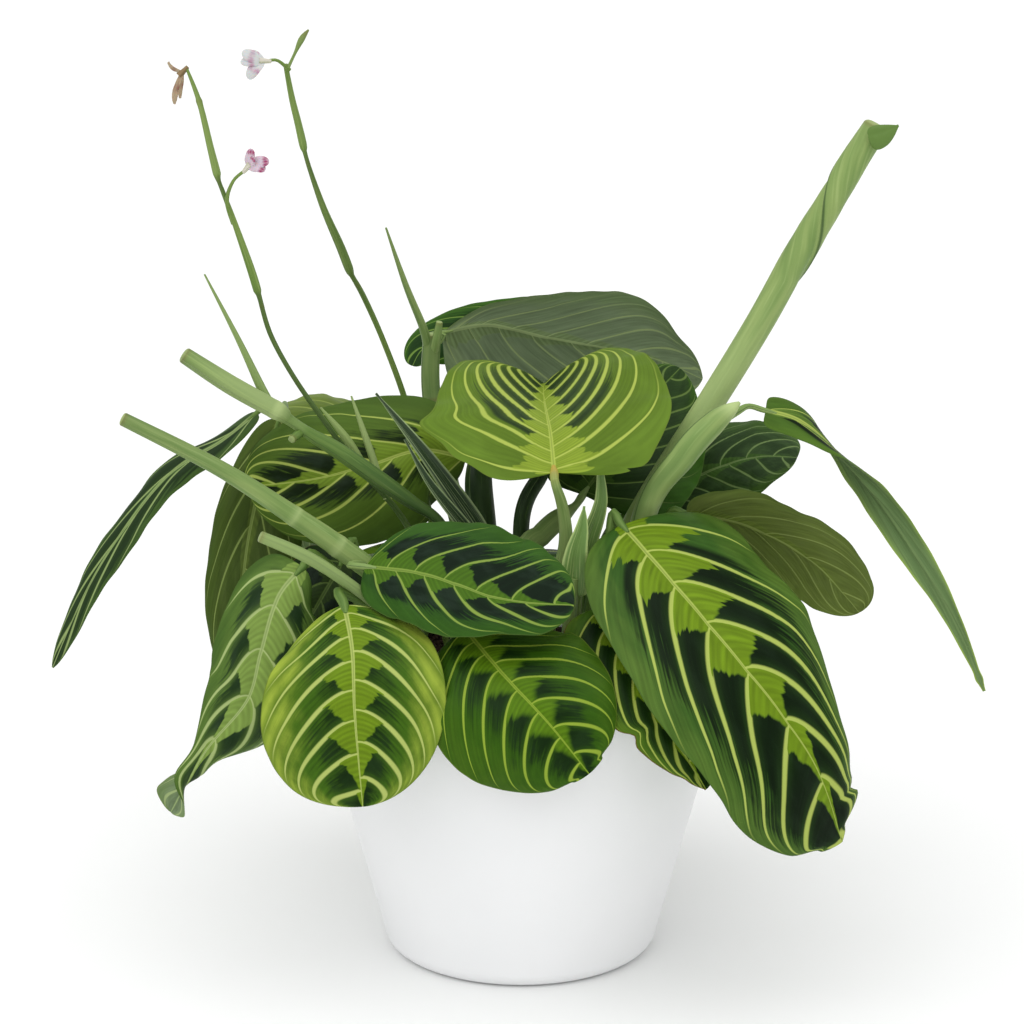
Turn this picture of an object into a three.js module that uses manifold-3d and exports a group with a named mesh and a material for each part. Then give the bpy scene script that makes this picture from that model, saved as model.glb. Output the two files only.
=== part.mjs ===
// Potted prayer plant with patterned leaves, two flower stems and cut stalks in a plain white cover pot.
// Millimetres, +Z up, +X to the viewer's right, +Y away from the viewer.
// The origin is the centre of the pot's flat underside.

import * as THREE from 'three';
import Module from 'manifold-3d';

const wasm = await Module();
wasm.setup();

// The pot
const POT_HEIGHT = 110;
const POT_FOOT_RADIUS = 42;
const POT_WALL = 4;
const POT_SIDE_START = 47.6;
const POT_FLARE = 0.265;
const POT_FLOOR = 6;
const POT_SEGMENTS = 40;

// The soil
const SOIL_TOP = 98;
const SOIL_SEGMENTS = 30;
const FOOT_DEPTH = 10;

// Gaps and thicknesses
const GAP = 0.35;
const BLADE_THICKNESS = 0.8;
const BLADE_END_WIDTH = 1.0;
const STALK_END_GAP = 1.2;
const STALK_END_STRAIGHT = 6;
const STRAIGHT_ABOVE_SOIL = 3;
const SHEATH_OVERLAP = 5;
const LENGTH_STEPS = 60;

const part = new THREE.Group();
part.name = 'potted_prayer_plant';

// Colours
const WHITE_POT = 0xebebed;
const DARK_SOIL = 0x2e241c;
const LEAF_GREEN = 0x4f7f2c;
const LEAF_DARK = 0x2f5428;
const LEAF_OLIVE = 0x66743a;
const LEAF_UNDERSIDE = 0x5d6e55;
const STALK_GREEN = 0x8fb069;
const STALK_DARK = 0x4d6a3c;
const PETAL = 0xe4cfdb;
const PETAL_WITHERED = 0xa9806a;
const LEAF_ROUGHNESS = 0.5;
const STALK_ROUGHNESS = 0.55;
const PETAL_ROUGHNESS = 0.6;
const POT_ROUGHNESS = 0.6;
const SOIL_ROUGHNESS = 0.95;

function addMesh(name, solid, colour, roughness) {
  const geometry = new THREE.BufferGeometry();
  geometry.setAttribute('position', new THREE.Float32BufferAttribute(solid.positions, 3));
  geometry.setIndex(solid.indices);
  geometry.computeVertexNormals();
  const material = new THREE.MeshStandardMaterial({ color: colour, roughness, metalness: 0 });
  const mesh = new THREE.Mesh(geometry, material);
  mesh.name = name;
  part.add(mesh);
}

// Solids joined or cut
function toManifold(solid) {
  const vertProperties = Float32Array.from(solid.positions);
  const triVerts = Uint32Array.from(solid.indices);
  return new wasm.Manifold(new wasm.Mesh({ numProp: 3, vertProperties, triVerts }));
}

function fromManifold(body) {
  const mesh = body.getMesh();
  return { positions: Array.from(mesh.vertProperties), indices: Array.from(mesh.triVerts) };
}

function join(solids) {
  let body = toManifold(solids[0]);
  for (const solid of solids.slice(1)) {
    body = body.add(toManifold(solid));
  }
  return fromManifold(body);
}

function cut(solid, tools) {
  let body = toManifold(solid);
  for (const tool of tools) {
    body = body.subtract(toManifold(tool));
  }
  return fromManifold(body);
}

// A smooth curve through points, read evenly by length
function throughPoints(points, share) {
  const last = points.length - 1;
  const place = Math.min(Math.max(share, 0), 1) * last;
  const index = Math.min(Math.floor(place), last - 1);
  const f = place - index;
  const at = (k) => points[Math.min(Math.max(k, 0), last)];
  const [a, b, c, d] = [at(index - 1), at(index), at(index + 1), at(index + 2)];
  return b.map((value, axis) => {
    const start = (c[axis] - a[axis]) / 2;
    const end = (d[axis] - b[axis]) / 2;
    const rise = c[axis] - value;
    return value + f * (start + f * (3 * rise - 2 * start - end + f * (start + end - 2 * rise)));
  });
}

function lengthTable(points) {
  const table = [0];
  let before = throughPoints(points, 0);
  for (let i = 1; i <= LENGTH_STEPS; i += 1) {
    const here = throughPoints(points, i / LENGTH_STEPS);
    table.push(table[i - 1] + Math.hypot(here[0] - before[0], here[1] - before[1], here[2] - before[2]));
    before = here;
  }
  return table;
}

function shareAtLength(table, t) {
  const wanted = t * table[table.length - 1];
  let i = 1;
  while (i < table.length - 1 && table[i] < wanted) {
    i += 1;
  }
  const step = (wanted - table[i - 1]) / (table[i] - table[i - 1]);
  return (i - 1 + step) / (table.length - 1);
}

function directionAt(points, share) {
  const ahead = new THREE.Vector3(...throughPoints(points, share + 0.01));
  const behind = new THREE.Vector3(...throughPoints(points, share - 0.01));
  return ahead.sub(behind).normalize();
}

// One point of a leaf blade: t runs from its stalk to its tip, v from -1 at its left edge to 1 at its right
function bladePoint(leaf, table, t, v) {
  const share = shareAtLength(table, t);
  const centre = new THREE.Vector3(...throughPoints(leaf.midrib, share));
  const along = directionAt(leaf.midrib, share);
  const up = new THREE.Vector3(...throughPoints(leaf.upperSide, t));
  up.addScaledVector(along, -up.dot(along)).normalize();
  const right = new THREE.Vector3().crossVectors(along, up);
  const side = v < 0 ? 0 : 1;
  const [base, tip] = side === 0 ? leaf.roundLeft : leaf.roundRight;
  const peak = base / (base + tip);
  const full = peak ** base * (1 - peak) ** tip;
  const outline = (t ** base * (1 - t) ** tip) / full;
  const width = Math.max(leaf.halfWidth * leaf.sides[side] * outline, BLADE_END_WIDTH / 2);
  const turn = Math.max(leaf.turnDown[side], 0.001);
  const lift = leaf.foldUp[side];
  const reach = Math.abs(v);
  const across = (width * (Math.sin(lift) - Math.sin(lift - turn * reach))) / turn;
  const height = (width * (Math.cos(lift - turn * reach) - Math.cos(lift))) / turn;
  const wave = leaf.waveHeight * reach ** 2 * Math.sin(Math.PI * t) ** 0.5
    * Math.sin(2 * Math.PI * leaf.waves * t + (side === 0 ? 0 : 2));
  return centre.addScaledVector(right, Math.sign(v) * across).addScaledVector(up, height + wave);
}

// A blade is closed: the same net of triangles on its upper and lower face, and a strip round the edge
function bladeSolid(leaf) {
  const { rows, columns, thickness } = leaf;
  const table = lengthTable(leaf.midrib);
  const tAt = (i) => (1 - Math.cos((Math.PI * i) / rows)) / 2;
  const vAt = (j) => (2 * j) / columns - 1;
  const grid = [];
  for (let i = 0; i <= rows; i += 1) {
    for (let j = 0; j <= columns; j += 1) {
      grid.push(bladePoint(leaf, table, tAt(i), vAt(j)));
    }
  }
  const id = (i, j) => i * (columns + 1) + j;
  const normals = grid.map(() => new THREE.Vector3());
  const faces = [];
  for (let i = 0; i < rows; i += 1) {
    for (let j = 0; j < columns; j += 1) {
      const corners = [id(i, j), id(i, j + 1), id(i + 1, j + 1), id(i + 1, j)];
      faces.push([corners[0], corners[1], corners[2]], [corners[0], corners[2], corners[3]]);
    }
  }
  for (const [a, b, c] of faces) {
    const one = new THREE.Vector3().subVectors(grid[b], grid[a]);
    const two = new THREE.Vector3().subVectors(grid[c], grid[a]);
    const normal = one.cross(two);
    for (const k of [a, b, c]) {
      normals[k].add(normal);
    }
  }
  const positions = [];
  for (const half of [thickness / 2, -thickness / 2]) {
    grid.forEach((point, k) => {
      const shifted = point.clone().addScaledVector(normals[k].clone().normalize(), half);
      positions.push(shifted.x, shifted.y, shifted.z);
    });
  }
  const lower = grid.length;
  const indices = [];
  for (const [a, b, c] of faces) {
    indices.push(a, b, c, lower + c, lower + b, lower + a);
  }
  const edge = [];
  for (let j = 0; j < columns; j += 1) {
    edge.push(id(0, j));
  }
  for (let i = 0; i < rows; i += 1) {
    edge.push(id(i, columns));
  }
  for (let j = columns; j > 0; j -= 1) {
    edge.push(id(rows, j));
  }
  for (let i = rows; i > 0; i -= 1) {
    edge.push(id(i, 0));
  }
  edge.forEach((a, k) => {
    const b = edge[(k + 1) % edge.length];
    indices.push(a, lower + a, lower + b, a, lower + b, b);
  });
  return { positions, indices };
}

const PLAIN_LEAF = {
  roundLeft: [0.45, 0.5],
  roundRight: [0.45, 0.5],
  sides: [1, 1],
  turnDown: [0.5, 0.5],
  foldUp: [0.12, 0.12],
  waveHeight: 0.8,
  waves: 3,
  rows: 10,
  columns: 6,
  thickness: BLADE_THICKNESS,
};

// A round stalk through points, each an x, y, z and a radius
function stalkSolid(points, rings, grow = 0) {
  const thickest = Math.max(...points.map((point) => point[3]));
  const sides = thickest > 2.5 ? 8 : 6;
  const table = lengthTable(points);
  const positions = [];
  const indices = [];
  let across = null;
  for (let i = 0; i <= rings; i += 1) {
    const share = shareAtLength(table, i / rings);
    const [x, y, z, radius] = throughPoints(points, share);
    const along = directionAt(points.map((p) => p.slice(0, 3)), share);
    if (across === null) {
      across = new THREE.Vector3(1, 0, 0);
    }
    across.addScaledVector(along, -across.dot(along)).normalize();
    const other = new THREE.Vector3().crossVectors(along, across);
    const end = i === 0 ? -grow : (i === rings ? grow : 0);
    const centre = new THREE.Vector3(x, y, z).addScaledVector(along, end);
    for (let k = 0; k < sides; k += 1) {
      const angle = (2 * Math.PI * k) / sides;
      const point = centre.clone();
      point.addScaledVector(across, Math.cos(angle) * (radius + grow));
      point.addScaledVector(other, Math.sin(angle) * (radius + grow));
      positions.push(point.x, point.y, point.z);
    }
  }
  for (let i = 0; i < rings; i += 1) {
    for (let k = 0; k < sides; k += 1) {
      const a = i * sides + k;
      const b = i * sides + ((k + 1) % sides);
      indices.push(a, b, b + sides, a, b + sides, a + sides);
    }
  }
  const top = rings * sides;
  for (let k = 1; k < sides - 1; k += 1) {
    indices.push(0, k + 1, k, top, top + k, top + k + 1);
  }
  return { positions, indices };
}

// Every stalk that stands in the soil leaves a hole of its own there
const holes = [];

function standing(foot, radius, above) {
  const bottom = [foot[0], foot[1], SOIL_TOP - FOOT_DEPTH, radius];
  const level = [foot[0], foot[1], SOIL_TOP + STRAIGHT_ABOVE_SOIL, radius];
  return [bottom, level, ...above];
}

function standingStalk(foot, radius, above, rings = 8) {
  const points = standing(foot, radius, above);
  holes.push(stalkSolid(points, rings, GAP));
  return stalkSolid(points, rings);
}

// The last points of a stalk that meets a leaf: along the leaf's own line, with a small gap
function meetLeaf(leaf, radius, gap = STALK_END_GAP) {
  const start = new THREE.Vector3(...leaf.midrib[0]);
  const along = directionAt(leaf.midrib, 0);
  const near = start.clone().addScaledVector(along, -STALK_END_STRAIGHT);
  const end = start.clone().addScaledVector(along, -gap);
  return [[near.x, near.y, near.z, radius], [end.x, end.y, end.z, radius]];
}

function addLeaf(name, colour, shape) {
  const leaf = { ...PLAIN_LEAF, ...shape };
  addMesh(name, bladeSolid(leaf), colour, LEAF_ROUGHNESS);
  return leaf;
}

function addLeafStalk(name, leaf, foot, radius, above, colour = STALK_GREEN) {
  const points = [...above, ...meetLeaf(leaf, Math.min(radius, 1.5))];
  addMesh(name, standingStalk(foot, radius, points, 7 + above.length), colour, STALK_ROUGHNESS);
}

// Leaf at the front left, hanging over the rim towards the viewer
const frontLeft = addLeaf('leaf_front_left', LEAF_GREEN, {
  midrib: [[-60, -56, 141], [-56, -73, 130], [-54, -82, 111], [-53, -86, 81]],
  upperSide: [[0, -0.5, 0.87], [-0.05, -0.9, 0.4], [-0.05, -1, 0.05]],
  halfWidth: 31,
  roundLeft: [0.45, 0.42],
  roundRight: [0.5, 0.4],
  rows: 12,
});

// Leaf at the front middle, hanging over the rim beside it
const frontMiddle = addLeaf('leaf_front_middle', LEAF_GREEN, {
  midrib: [[-19, -57, 133], [-6, -73, 122], [9, -82, 108], [22, -85, 92]],
  upperSide: [[0, -0.5, 0.87], [0.05, -0.85, 0.5], [0.1, -1, 0.1]],
  halfWidth: 30,
  turnDown: [0.5, 0.9],
  rows: 12,
});

// Dark leaf lying nearly level above the two front leaves
const middleFront = addLeaf('leaf_middle_front', LEAF_DARK, {
  midrib: [[-52, -48, 152], [-35, -56, 152], [-22, -63, 150], [-10, -68, 147], [3, -72, 146],
    [17, -74, 146]],
  upperSide: [[0, -0.55, 0.83], [0, -0.6, 0.8], [0.1, -0.65, 0.75]],
  halfWidth: 25,
  sides: [1.15, 0.75],
  roundLeft: [0.35, 0.45],
  roundRight: [0.3, 0.5],
  turnDown: [0.3, 0.8],
  rows: 12,
});

// The largest leaf, arching down over the right of the pot
const rightFront = addLeaf('leaf_right_front', LEAF_DARK, {
  midrib: [[34, -31, 162], [50, -53, 148], [69, -67, 128], [85, -73, 109], [98, -75, 89], [107, -71, 63]],
  upperSide: [[0.05, -0.4, 0.9], [0.3, -0.7, 0.65], [0.5, -0.85, 0.2]],
  halfWidth: 35,
  sides: [1.03, 1.04],
  roundLeft: [0.35, 0.8],
  roundRight: [0.4, 0.36],
  rows: 14,
  columns: 8,
});

// Leaf in the middle that faces the viewer with its tip rolled back, so that it looks like a heart
const centre = addLeaf('leaf_centre', LEAF_GREEN, {
  midrib: [[11, -34, 181], [10, -8, 194], [8, 22, 201], [8, 44, 200], [9, 60, 194]],
  upperSide: [[0, -0.45, 0.9], [0, -0.3, 0.95], [0, 0.3, 0.95]],
  halfWidth: 44,
  foldUp: [0.3, 0.4],
  roundLeft: [0.4, 0.5],
  roundRight: [0.4, 0.5],
  rows: 14,
  columns: 8,
});

// Large leaf at the back that shows its grey-green underside
const back = addLeaf('leaf_back', LEAF_UNDERSIDE, {
  midrib: [[-25, 76, 210], [-11, 80, 211], [9, 88, 205], [30, 94, 200], [51, 96, 195], [69, 92, 188]],
  upperSide: [[0, 0.9, 0.45], [0.1, 0.93, 0.35], [0.2, 0.93, 0.3]],
  halfWidth: 33,
  sides: [1, 0.92],
  roundLeft: [0.3, 0.5],
  roundRight: [1.1, 0.62],
  rows: 12,
});

// Leaf behind it, of which a green strip and a dark drooping tip show
const backUpper = addLeaf('leaf_back_upper', LEAF_GREEN, {
  midrib: [[32, 114, 204], [2, 114, 204], [-22, 111, 200], [-37, 104, 197], [-43, 97, 190]],
  upperSide: [[0, -0.9, 0.45], [0, -0.9, 0.45], [-0.3, -0.8, 0.4]],
  halfWidth: 13,
  columns: 4,
});

// Dark leaf behind the middle one, standing up to the right
const backRight = addLeaf('leaf_back_right', LEAF_DARK, {
  midrib: [[27, 24, 160], [39, 38, 177], [50, 48, 190], [58, 52, 200]],
  upperSide: [[-0.3, -0.8, 0.5], [-0.2, -0.85, 0.5]],
  halfWidth: 27,
  sides: [0.55, 1],
});

// Dark leaf lying to the right behind the stalks
const rightBack = addLeaf('leaf_right_back', LEAF_DARK, {
  midrib: [[45, 32, 154], [66, 40, 163], [84, 36, 170], [99, 28, 172]],
  upperSide: [[0.1, -0.6, 0.78], [0.2, -0.6, 0.75]],
  halfWidth: 23,
  columns: 4,
});

// Olive leaf reaching down to the right, seen from below
const rightLow = addLeaf('leaf_right_low', LEAF_OLIVE, {
  midrib: [[58, 0, 158], [73, -4, 156], [88, -9, 151], [104, -14, 142], [119, -16, 127]],
  upperSide: [[0.1, 0.75, 0.6], [0.3, 0.75, 0.6]],
  halfWidth: 22,
  columns: 4,
  roundRight: [0.45, 0.4],
});

// Narrow twisted leaf hanging far out on the right
const farRight = addLeaf('leaf_far_right', LEAF_UNDERSIDE, {
  midrib: [[84, -8, 196], [96, -7, 192], [108, -7, 183], [124, -8, 165], [141, -9, 140], [152, -10, 119],
    [162, -10, 97]],
  upperSide: [[0.1, -0.8, 0.6], [0.2, 0.2, 0.9], [0.1, 0.9, 0.3], [0.1, 0.9, 0.3], [0.1, 0.9, 0.3]],
  halfWidth: 8.5,
  roundLeft: [0.15, 1],
  roundRight: [0.15, 1],
  rows: 14,
  columns: 4,
});

// Narrow folded leaf hanging far out on the left
const farLeft = addLeaf('leaf_far_left', LEAF_DARK, {
  midrib: [[-92, 2, 194], [-104, -4, 184], [-116, -8, 177], [-124, -10, 169], [-138, -13, 151],
    [-150, -15, 131], [-163, -16, 108]],
  upperSide: [[-0.3, -0.5, 0.8], [-0.5, -0.8, 0.3], [-0.3, -0.95, 0.1]],
  halfWidth: 6.5,
  turnDown: [0.7, 0.7],
  roundLeft: [0.3, 0.55],
  roundRight: [0.3, 0.55],
  rows: 14,
  columns: 4,
});

// Large leaf at the back left, lying with its tip to the left
const leftBack = addLeaf('leaf_left_back', LEAF_DARK, {
  midrib: [[-20, 36, 170], [-36, 31, 174], [-54, 20, 171], [-74, 6, 169], [-95, -8, 170]],
  upperSide: [[0, -0.85, 0.5], [0, -0.85, 0.5]],
  halfWidth: 28,
});

// Pale leaf behind it
const leftRear = addLeaf('leaf_left_rear', LEAF_GREEN, {
  midrib: [[-34, 92, 164], [-51, 86, 171], [-71, 76, 179], [-91, 64, 181]],
  upperSide: [[0, -0.5, 0.85], [0, -0.5, 0.85]],
  halfWidth: 20,
  columns: 4,
});

// Olive leaf hanging straight down on the left
const leftHanging = addLeaf('leaf_left_hanging', LEAF_OLIVE, {
  midrib: [[-86, 24, 187], [-90, 20, 175], [-94, 12, 159], [-97, 4, 142], [-99, -4, 118],
    [-98, -7, 92]],
  upperSide: [[-0.2, -0.9, 0.4], [-0.2, -0.95, 0.1]],
  halfWidth: 15,
});

// Leaf in front of it, folded along its midrib and twisted over at the tip
const leftCurl = addLeaf('leaf_left_curled', LEAF_GREEN, {
  midrib: [[-76, -37, 149], [-85, -43, 140], [-91, -48, 123], [-95, -50, 106], [-104, -50, 89],
    [-118, -46, 65]],
  upperSide: [[-0.2, -0.9, 0.4], [-0.25, -0.95, 0.15], [-0.2, -0.95, 0], [0.6, 0.3, 0.3]],
  halfWidth: 15,
  roundRight: [0.25, 0.6],
  turnDown: [2, 0.4],
  rows: 14,
});

// Dark leaf below it with a brown curled end
const leftLow = addLeaf('leaf_left_low', LEAF_DARK, {
  midrib: [[-68, -14, 132], [-77, -25, 121], [-86, -33, 106], [-97, -37, 93], [-107, -37, 80]],
  upperSide: [[-0.3, -0.9, 0.3], [-0.5, -0.85, -0.1]],
  halfWidth: 14,
  columns: 4,
});

// Leaf between the front middle one and the largest, with a brown edge
const rightUnder = addLeaf('leaf_right_under', LEAF_GREEN, {
  midrib: [[27, -47, 138], [35, -66, 125], [47, -76, 106], [61, -75, 83]],
  upperSide: [[0.1, -0.7, 0.7], [0.3, -0.95, 0.2]],
  halfWidth: 20,
  sides: [1, 0.8],
});

// Three leaves that hang over the rim at the back
const lowBackLeft = addLeaf('leaf_low_back_left', LEAF_GREEN, {
  midrib: [[-30, 64, 130], [-42, 84, 126], [-52, 100, 108], [-56, 108, 84]],
  upperSide: [[-0.2, 0.4, 0.87], [-0.4, 0.9, 0.2]],
  halfWidth: 26,
  rows: 8,
  columns: 4,
});

const lowBackMiddle = addLeaf('leaf_low_back_middle', LEAF_DARK, {
  midrib: [[2, 66, 126], [3, 84, 122], [4, 100, 104], [5, 106, 78]],
  upperSide: [[0, 0.4, 0.87], [0, 0.95, 0.2]],
  halfWidth: 25,
  rows: 8,
  columns: 4,
});

const lowBackRight = addLeaf('leaf_low_back_right', LEAF_GREEN, {
  midrib: [[32, 60, 130], [46, 76, 128], [60, 88, 110], [66, 94, 86]],
  upperSide: [[0.2, 0.4, 0.87], [0.5, 0.85, 0.2]],
  halfWidth: 26,
  rows: 8,
  columns: 4,
});

// Two leaves that arch away to the back above them
const archedBackLeft = addLeaf('leaf_arched_back_left', LEAF_DARK, {
  midrib: [[-46, 74, 150], [-60, 96, 150], [-71, 108, 134], [-75, 113, 112]],
  upperSide: [[-0.2, 0.3, 0.9], [-0.4, 0.85, 0.3]],
  halfWidth: 24,
  rows: 8,
  columns: 4,
});

const archedBackRight = addLeaf('leaf_arched_back_right', LEAF_GREEN, {
  midrib: [[36, 72, 164], [47, 99, 167], [57, 117, 154], [61, 123, 130]],
  upperSide: [[0.1, 0.2, 0.95], [0.4, 0.85, 0.3]],
  halfWidth: 25,
  rows: 8,
  columns: 4,
});

// Stalks of the leaves, from the soil to the blade
const cutSideStalk = stalkSolid([[-46, -45, 135, 1.7], [-55, -51, 145, 1.8], [-70, -56, 157, 2],
  [-86, -58, 165, 1.8]], 5);
const frontLeftStalk = standingStalk([-32, -36], 2, [[-42, -43, 130, 1.9], ...meetLeaf(frontLeft, 1.7)]);
addMesh('stalk_front_left', join([frontLeftStalk, cutSideStalk]), STALK_GREEN, STALK_ROUGHNESS);

addLeafStalk('stalk_front_middle', frontMiddle, [-12, -44], 2, [[-16, -50, 122, 2]]);
addLeafStalk('stalk_right_front', rightFront, [28, -28], 2.4, [[30, -28, 145, 2.2]]);
addLeafStalk('stalk_centre', centre, [6, -24], 2.4, [[12, -27, 140, 2.4], [15, -29, 155, 2.4],
  [14, -32, 168, 2]]);
addLeafStalk('stalk_back_upper', backUpper, [-8, 14], 4.6, [[-14, 18, 151, 5.4], [-15, 22, 169, 5],
  [-11, 50, 173, 3], [0, 86, 166, 2], [20, 110, 172, 1.6], [42, 114, 190, 1.5]], STALK_DARK);
addLeafStalk('stalk_back_right', backRight, [-4, 0], 3, [[2, 2, 152, 3.1], [18, 11, 166, 2.6]]);
addLeafStalk('stalk_right_back', rightBack, [22, 22], 2, [[30, 28, 140, 2]]);
addLeafStalk('stalk_right_low', rightLow, [46, 2], 2, [[50, 1, 142, 2]]);
addLeafStalk('stalk_left_back', leftBack, [-18, 22], 2, [[-16, 33, 145, 2]]);
addLeafStalk('stalk_left_rear', leftRear, [-36, 40], 2, [[-38, 50, 138, 2], [-37, 78, 152, 1.8]]);
addLeafStalk('stalk_left_curled', leftCurl, [-46, -22], 2, [[-56, -26, 134, 2]]);
addLeafStalk('stalk_left_low', leftLow, [-46, -6], 1.8, [[-56, -8, 126, 1.8]]);
addLeafStalk('stalk_right_under', rightUnder, [30, -40], 1.8, [[27, -38, 128, 1.8]]);
addLeafStalk('stalk_low_back_left', lowBackLeft, [-24, 54], 1.8, [[-25, 56, 118, 1.8]]);
addLeafStalk('stalk_low_back_middle', lowBackMiddle, [2, 52], 1.8, [[2, 56, 116, 1.8]]);
addLeafStalk('stalk_low_back_right', lowBackRight, [24, 48], 1.8, [[25, 51, 118, 1.8]]);
addLeafStalk('stalk_arched_back_left', archedBackLeft, [-46, 28], 1.8, [[-46, 52, 128, 1.8]]);
addLeafStalk('stalk_arched_back_right', archedBackRight, [38, 30], 1.9, [[36, 50, 136, 1.8]]);

// Tall stalk of the back leaf, with a pointed blade and a pale rolled stub at its top
const backStalk = standingStalk([-12, 42], 3.6, [[-24, 58, 145, 3.8], [-33, 70, 184, 3.8],
  [-33, 73, 208, 3.6]]);
const backPetiole = stalkSolid([[-33, 73, 204, 1.6], [-29, 74.5, 208, 1.6],
  ...meetLeaf(back, 1.1, 1.6).slice(1)], 4);
const backPointedBlade = stalkSolid([[-34, 72, 203, 2], [-36, 69, 212, 1.6], [-42, 66, 228, 1.2],
  [-49, 62, 250, 0.5]], 6);
const backStub = stalkSolid([[-32, 71, 203, 1.8], [-31, 69, 208, 1.8], [-30, 68, 214, 1.3]], 3);
const backParts = [backStalk, backPetiole, backPointedBlade, backStub];
addMesh('stalk_back', join(backParts), STALK_GREEN, STALK_ROUGHNESS);

// Wide sheath on the right with the thin stalk of the far right leaf
const rightSheath = standingStalk([36, -8], 4.2, [[42, -13, 160, 4.8], [57, -17, 186, 5],
  [70, -16, 199, 4], [75, -16, 202, 2]]);
const rightPetiole = stalkSolid([[70, -15, 197, 1.4], [77, -12, 197.5, 1.3],
  ...meetLeaf(farRight, 1, 1.6).slice(1)], 5);
addMesh('stalk_far_right', join([rightSheath, rightPetiole]), STALK_GREEN, STALK_ROUGHNESS);

// Long cut stalk on the left with sheath rings, and the stalk of the dark front leaf that leaves it
const longCutStalk = standingStalk([-30, -14], 3.4, [[-42, -22, 132, 3.8], [-50, -30, 145, 4],
  [-62, -32, 155, 4.1], [-75, -34, 165, 3.7], [-101, -36, 183, 3], [-133, -36, 200, 2.5]], 14);
const middlePetiole = stalkSolid([[-47, -28, 142, 1.6], [-54, -38, 150, 1.6],
  ...meetLeaf(middleFront, 1.3, 1.8).slice(1)], 5);
addMesh('stem_left_cut', join([longCutStalk, middlePetiole]), STALK_GREEN, STALK_ROUGHNESS);

// Upper left stem: a branching stem with a cut sheath, a small cut stub, a pointed blade
// and the short stalks of the two leaves that hang on the left
const upperLeftStem = standingStalk([-12, -8], 1.8, [[-20, -6, 140, 1.7], [-28, -8, 157, 1.8],
  [-47, -12, 172, 3], [-66, -15, 186, 3.4], [-84, -17, 199, 3.2], [-99, -18, 208, 3.5],
  [-114, -18, 218, 2.9]], 16);
const upperLeftParts = [
  upperLeftStem,
  stalkSolid([[-75, -15, 191, 1.6], [-77, -20, 190.5, 1.6], [-78, -22, 190, 1.5]], 2),
  stalkSolid([[-84, -15, 199, 1.8], [-87, -13, 203, 1.5], [-96, -10, 222, 1.2], [-108, -6, 244, 0.5]], 6),
  stalkSolid([[-83, -16, 198, 1.6], [-86, -6, 199, 1.4], ...meetLeaf(farLeft, 1, 1.8).slice(1)], 4),
  stalkSolid([[-78, -15, 194, 1.6], [-82, 4, 193, 1.4], ...meetLeaf(leftHanging, 1, 1.8).slice(1)], 4),
];
addMesh('stem_left_upper', join(upperLeftParts), STALK_GREEN, STALK_ROUGHNESS);

// Thick rolled leaf cut off at the top right, with a flap at its end
const rolledStalk = standingStalk([32, 8], 4.6, [[38, 4, 145, 5], [45, 2, 163, 5.2], [67, 3, 198, 5.4],
  [84, 4, 226, 5.3], [98, 6, 252, 5.1], [112, 7, 275, 4.8], [122, 8, 292, 4.4]], 12);
const rolledFlap = bladeSolid({
  ...PLAIN_LEAF,
  midrib: [[117, 6, 287], [122, 6, 292], [128, 5, 293]],
  upperSide: [[0.2, -0.9, 0.3], [0.2, -0.9, 0.3]],
  halfWidth: 4.5,
  rows: 4,
  columns: 4,
  waveHeight: 0,
  thickness: 1,
});
addMesh('stem_right_rolled', join([rolledStalk, rolledFlap]), STALK_GREEN, STALK_ROUGHNESS);

// Dark cut stalk in the middle
const middleDarkStem = standingStalk([2, 14], 2.9, [[0, 14, 151, 3.1], [7, 20, 168, 3],
  [10, 22, 176, 2.6]]);
addMesh('stem_middle_dark', middleDarkStem, STALK_DARK, STALK_ROUGHNESS);

// Pointed sheath blades that stand among the stalks
const PLAIN_SHEATH = {
  ...PLAIN_LEAF,
  roundLeft: [0.12, 0.8],
  roundRight: [0.12, 0.8],
  turnDown: [0.2, 0.2],
  foldUp: [0.6, 0.6],
  waveHeight: 0,
  rows: 7,
  columns: 2,
  thickness: 1.2,
};

function addSheath(name, foot, radius, shape, colour) {
  const blade = { ...PLAIN_SHEATH, ...shape };
  const start = new THREE.Vector3(...blade.midrib[0]);
  const overlap = start.clone().addScaledVector(directionAt(blade.midrib, 0), SHEATH_OVERLAP);
  const top = [overlap.x, overlap.y, overlap.z, blade.halfWidth * 0.45];
  const base = standingStalk(foot, radius, [top], 5);
  addMesh(name, join([base, bladeSolid(blade)]), colour, STALK_ROUGHNESS);
}

addSheath('sheath_middle_narrow', [18, -14], 2, {
  midrib: [[21, -20, 145], [23, -22, 155], [27, -22, 169], [26, -22, 186]],
  upperSide: [[0.3, -0.9, 0.2], [0.3, -0.9, 0.2]],
  halfWidth: 3.4,
}, STALK_GREEN);

addSheath('sheath_middle_wide', [14, -42], 2.4, {
  midrib: [[17, -40, 140], [18, -40, 154], [20, -40, 163], [21, -40, 171]],
  upperSide: [[0.2, -0.9, 0.2], [0.2, -0.9, 0.2]],
  halfWidth: 4.6,
}, STALK_GREEN);

// Pair of dark striped pointed blades left of the middle
const stripedLong = {
  ...PLAIN_SHEATH,
  midrib: [[-13, -3, 148], [-17, -4, 157], [-33, -7, 181], [-50, -8, 203]],
  upperSide: [[0, -0.9, 0.4], [0, -0.9, 0.4]],
  halfWidth: 2.6,
};
const stripedShort = {
  ...PLAIN_SHEATH,
  midrib: [[-13, -4, 146], [-21, -10, 158], [-32, -12, 173], [-40, -13, 188]],
  upperSide: [[0, -0.9, 0.4], [0, -0.9, 0.4]],
  halfWidth: 2,
};
const stripedFoot = standingStalk([-2, -10], 1.6, [[-9, -4, 138, 1.6], [-14, -3.5, 150, 1.4]], 6);
addMesh('sheath_left_striped', join([stripedFoot, bladeSolid(stripedLong), bladeSolid(stripedShort)]),
  STALK_DARK, STALK_ROUGHNESS);

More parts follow.
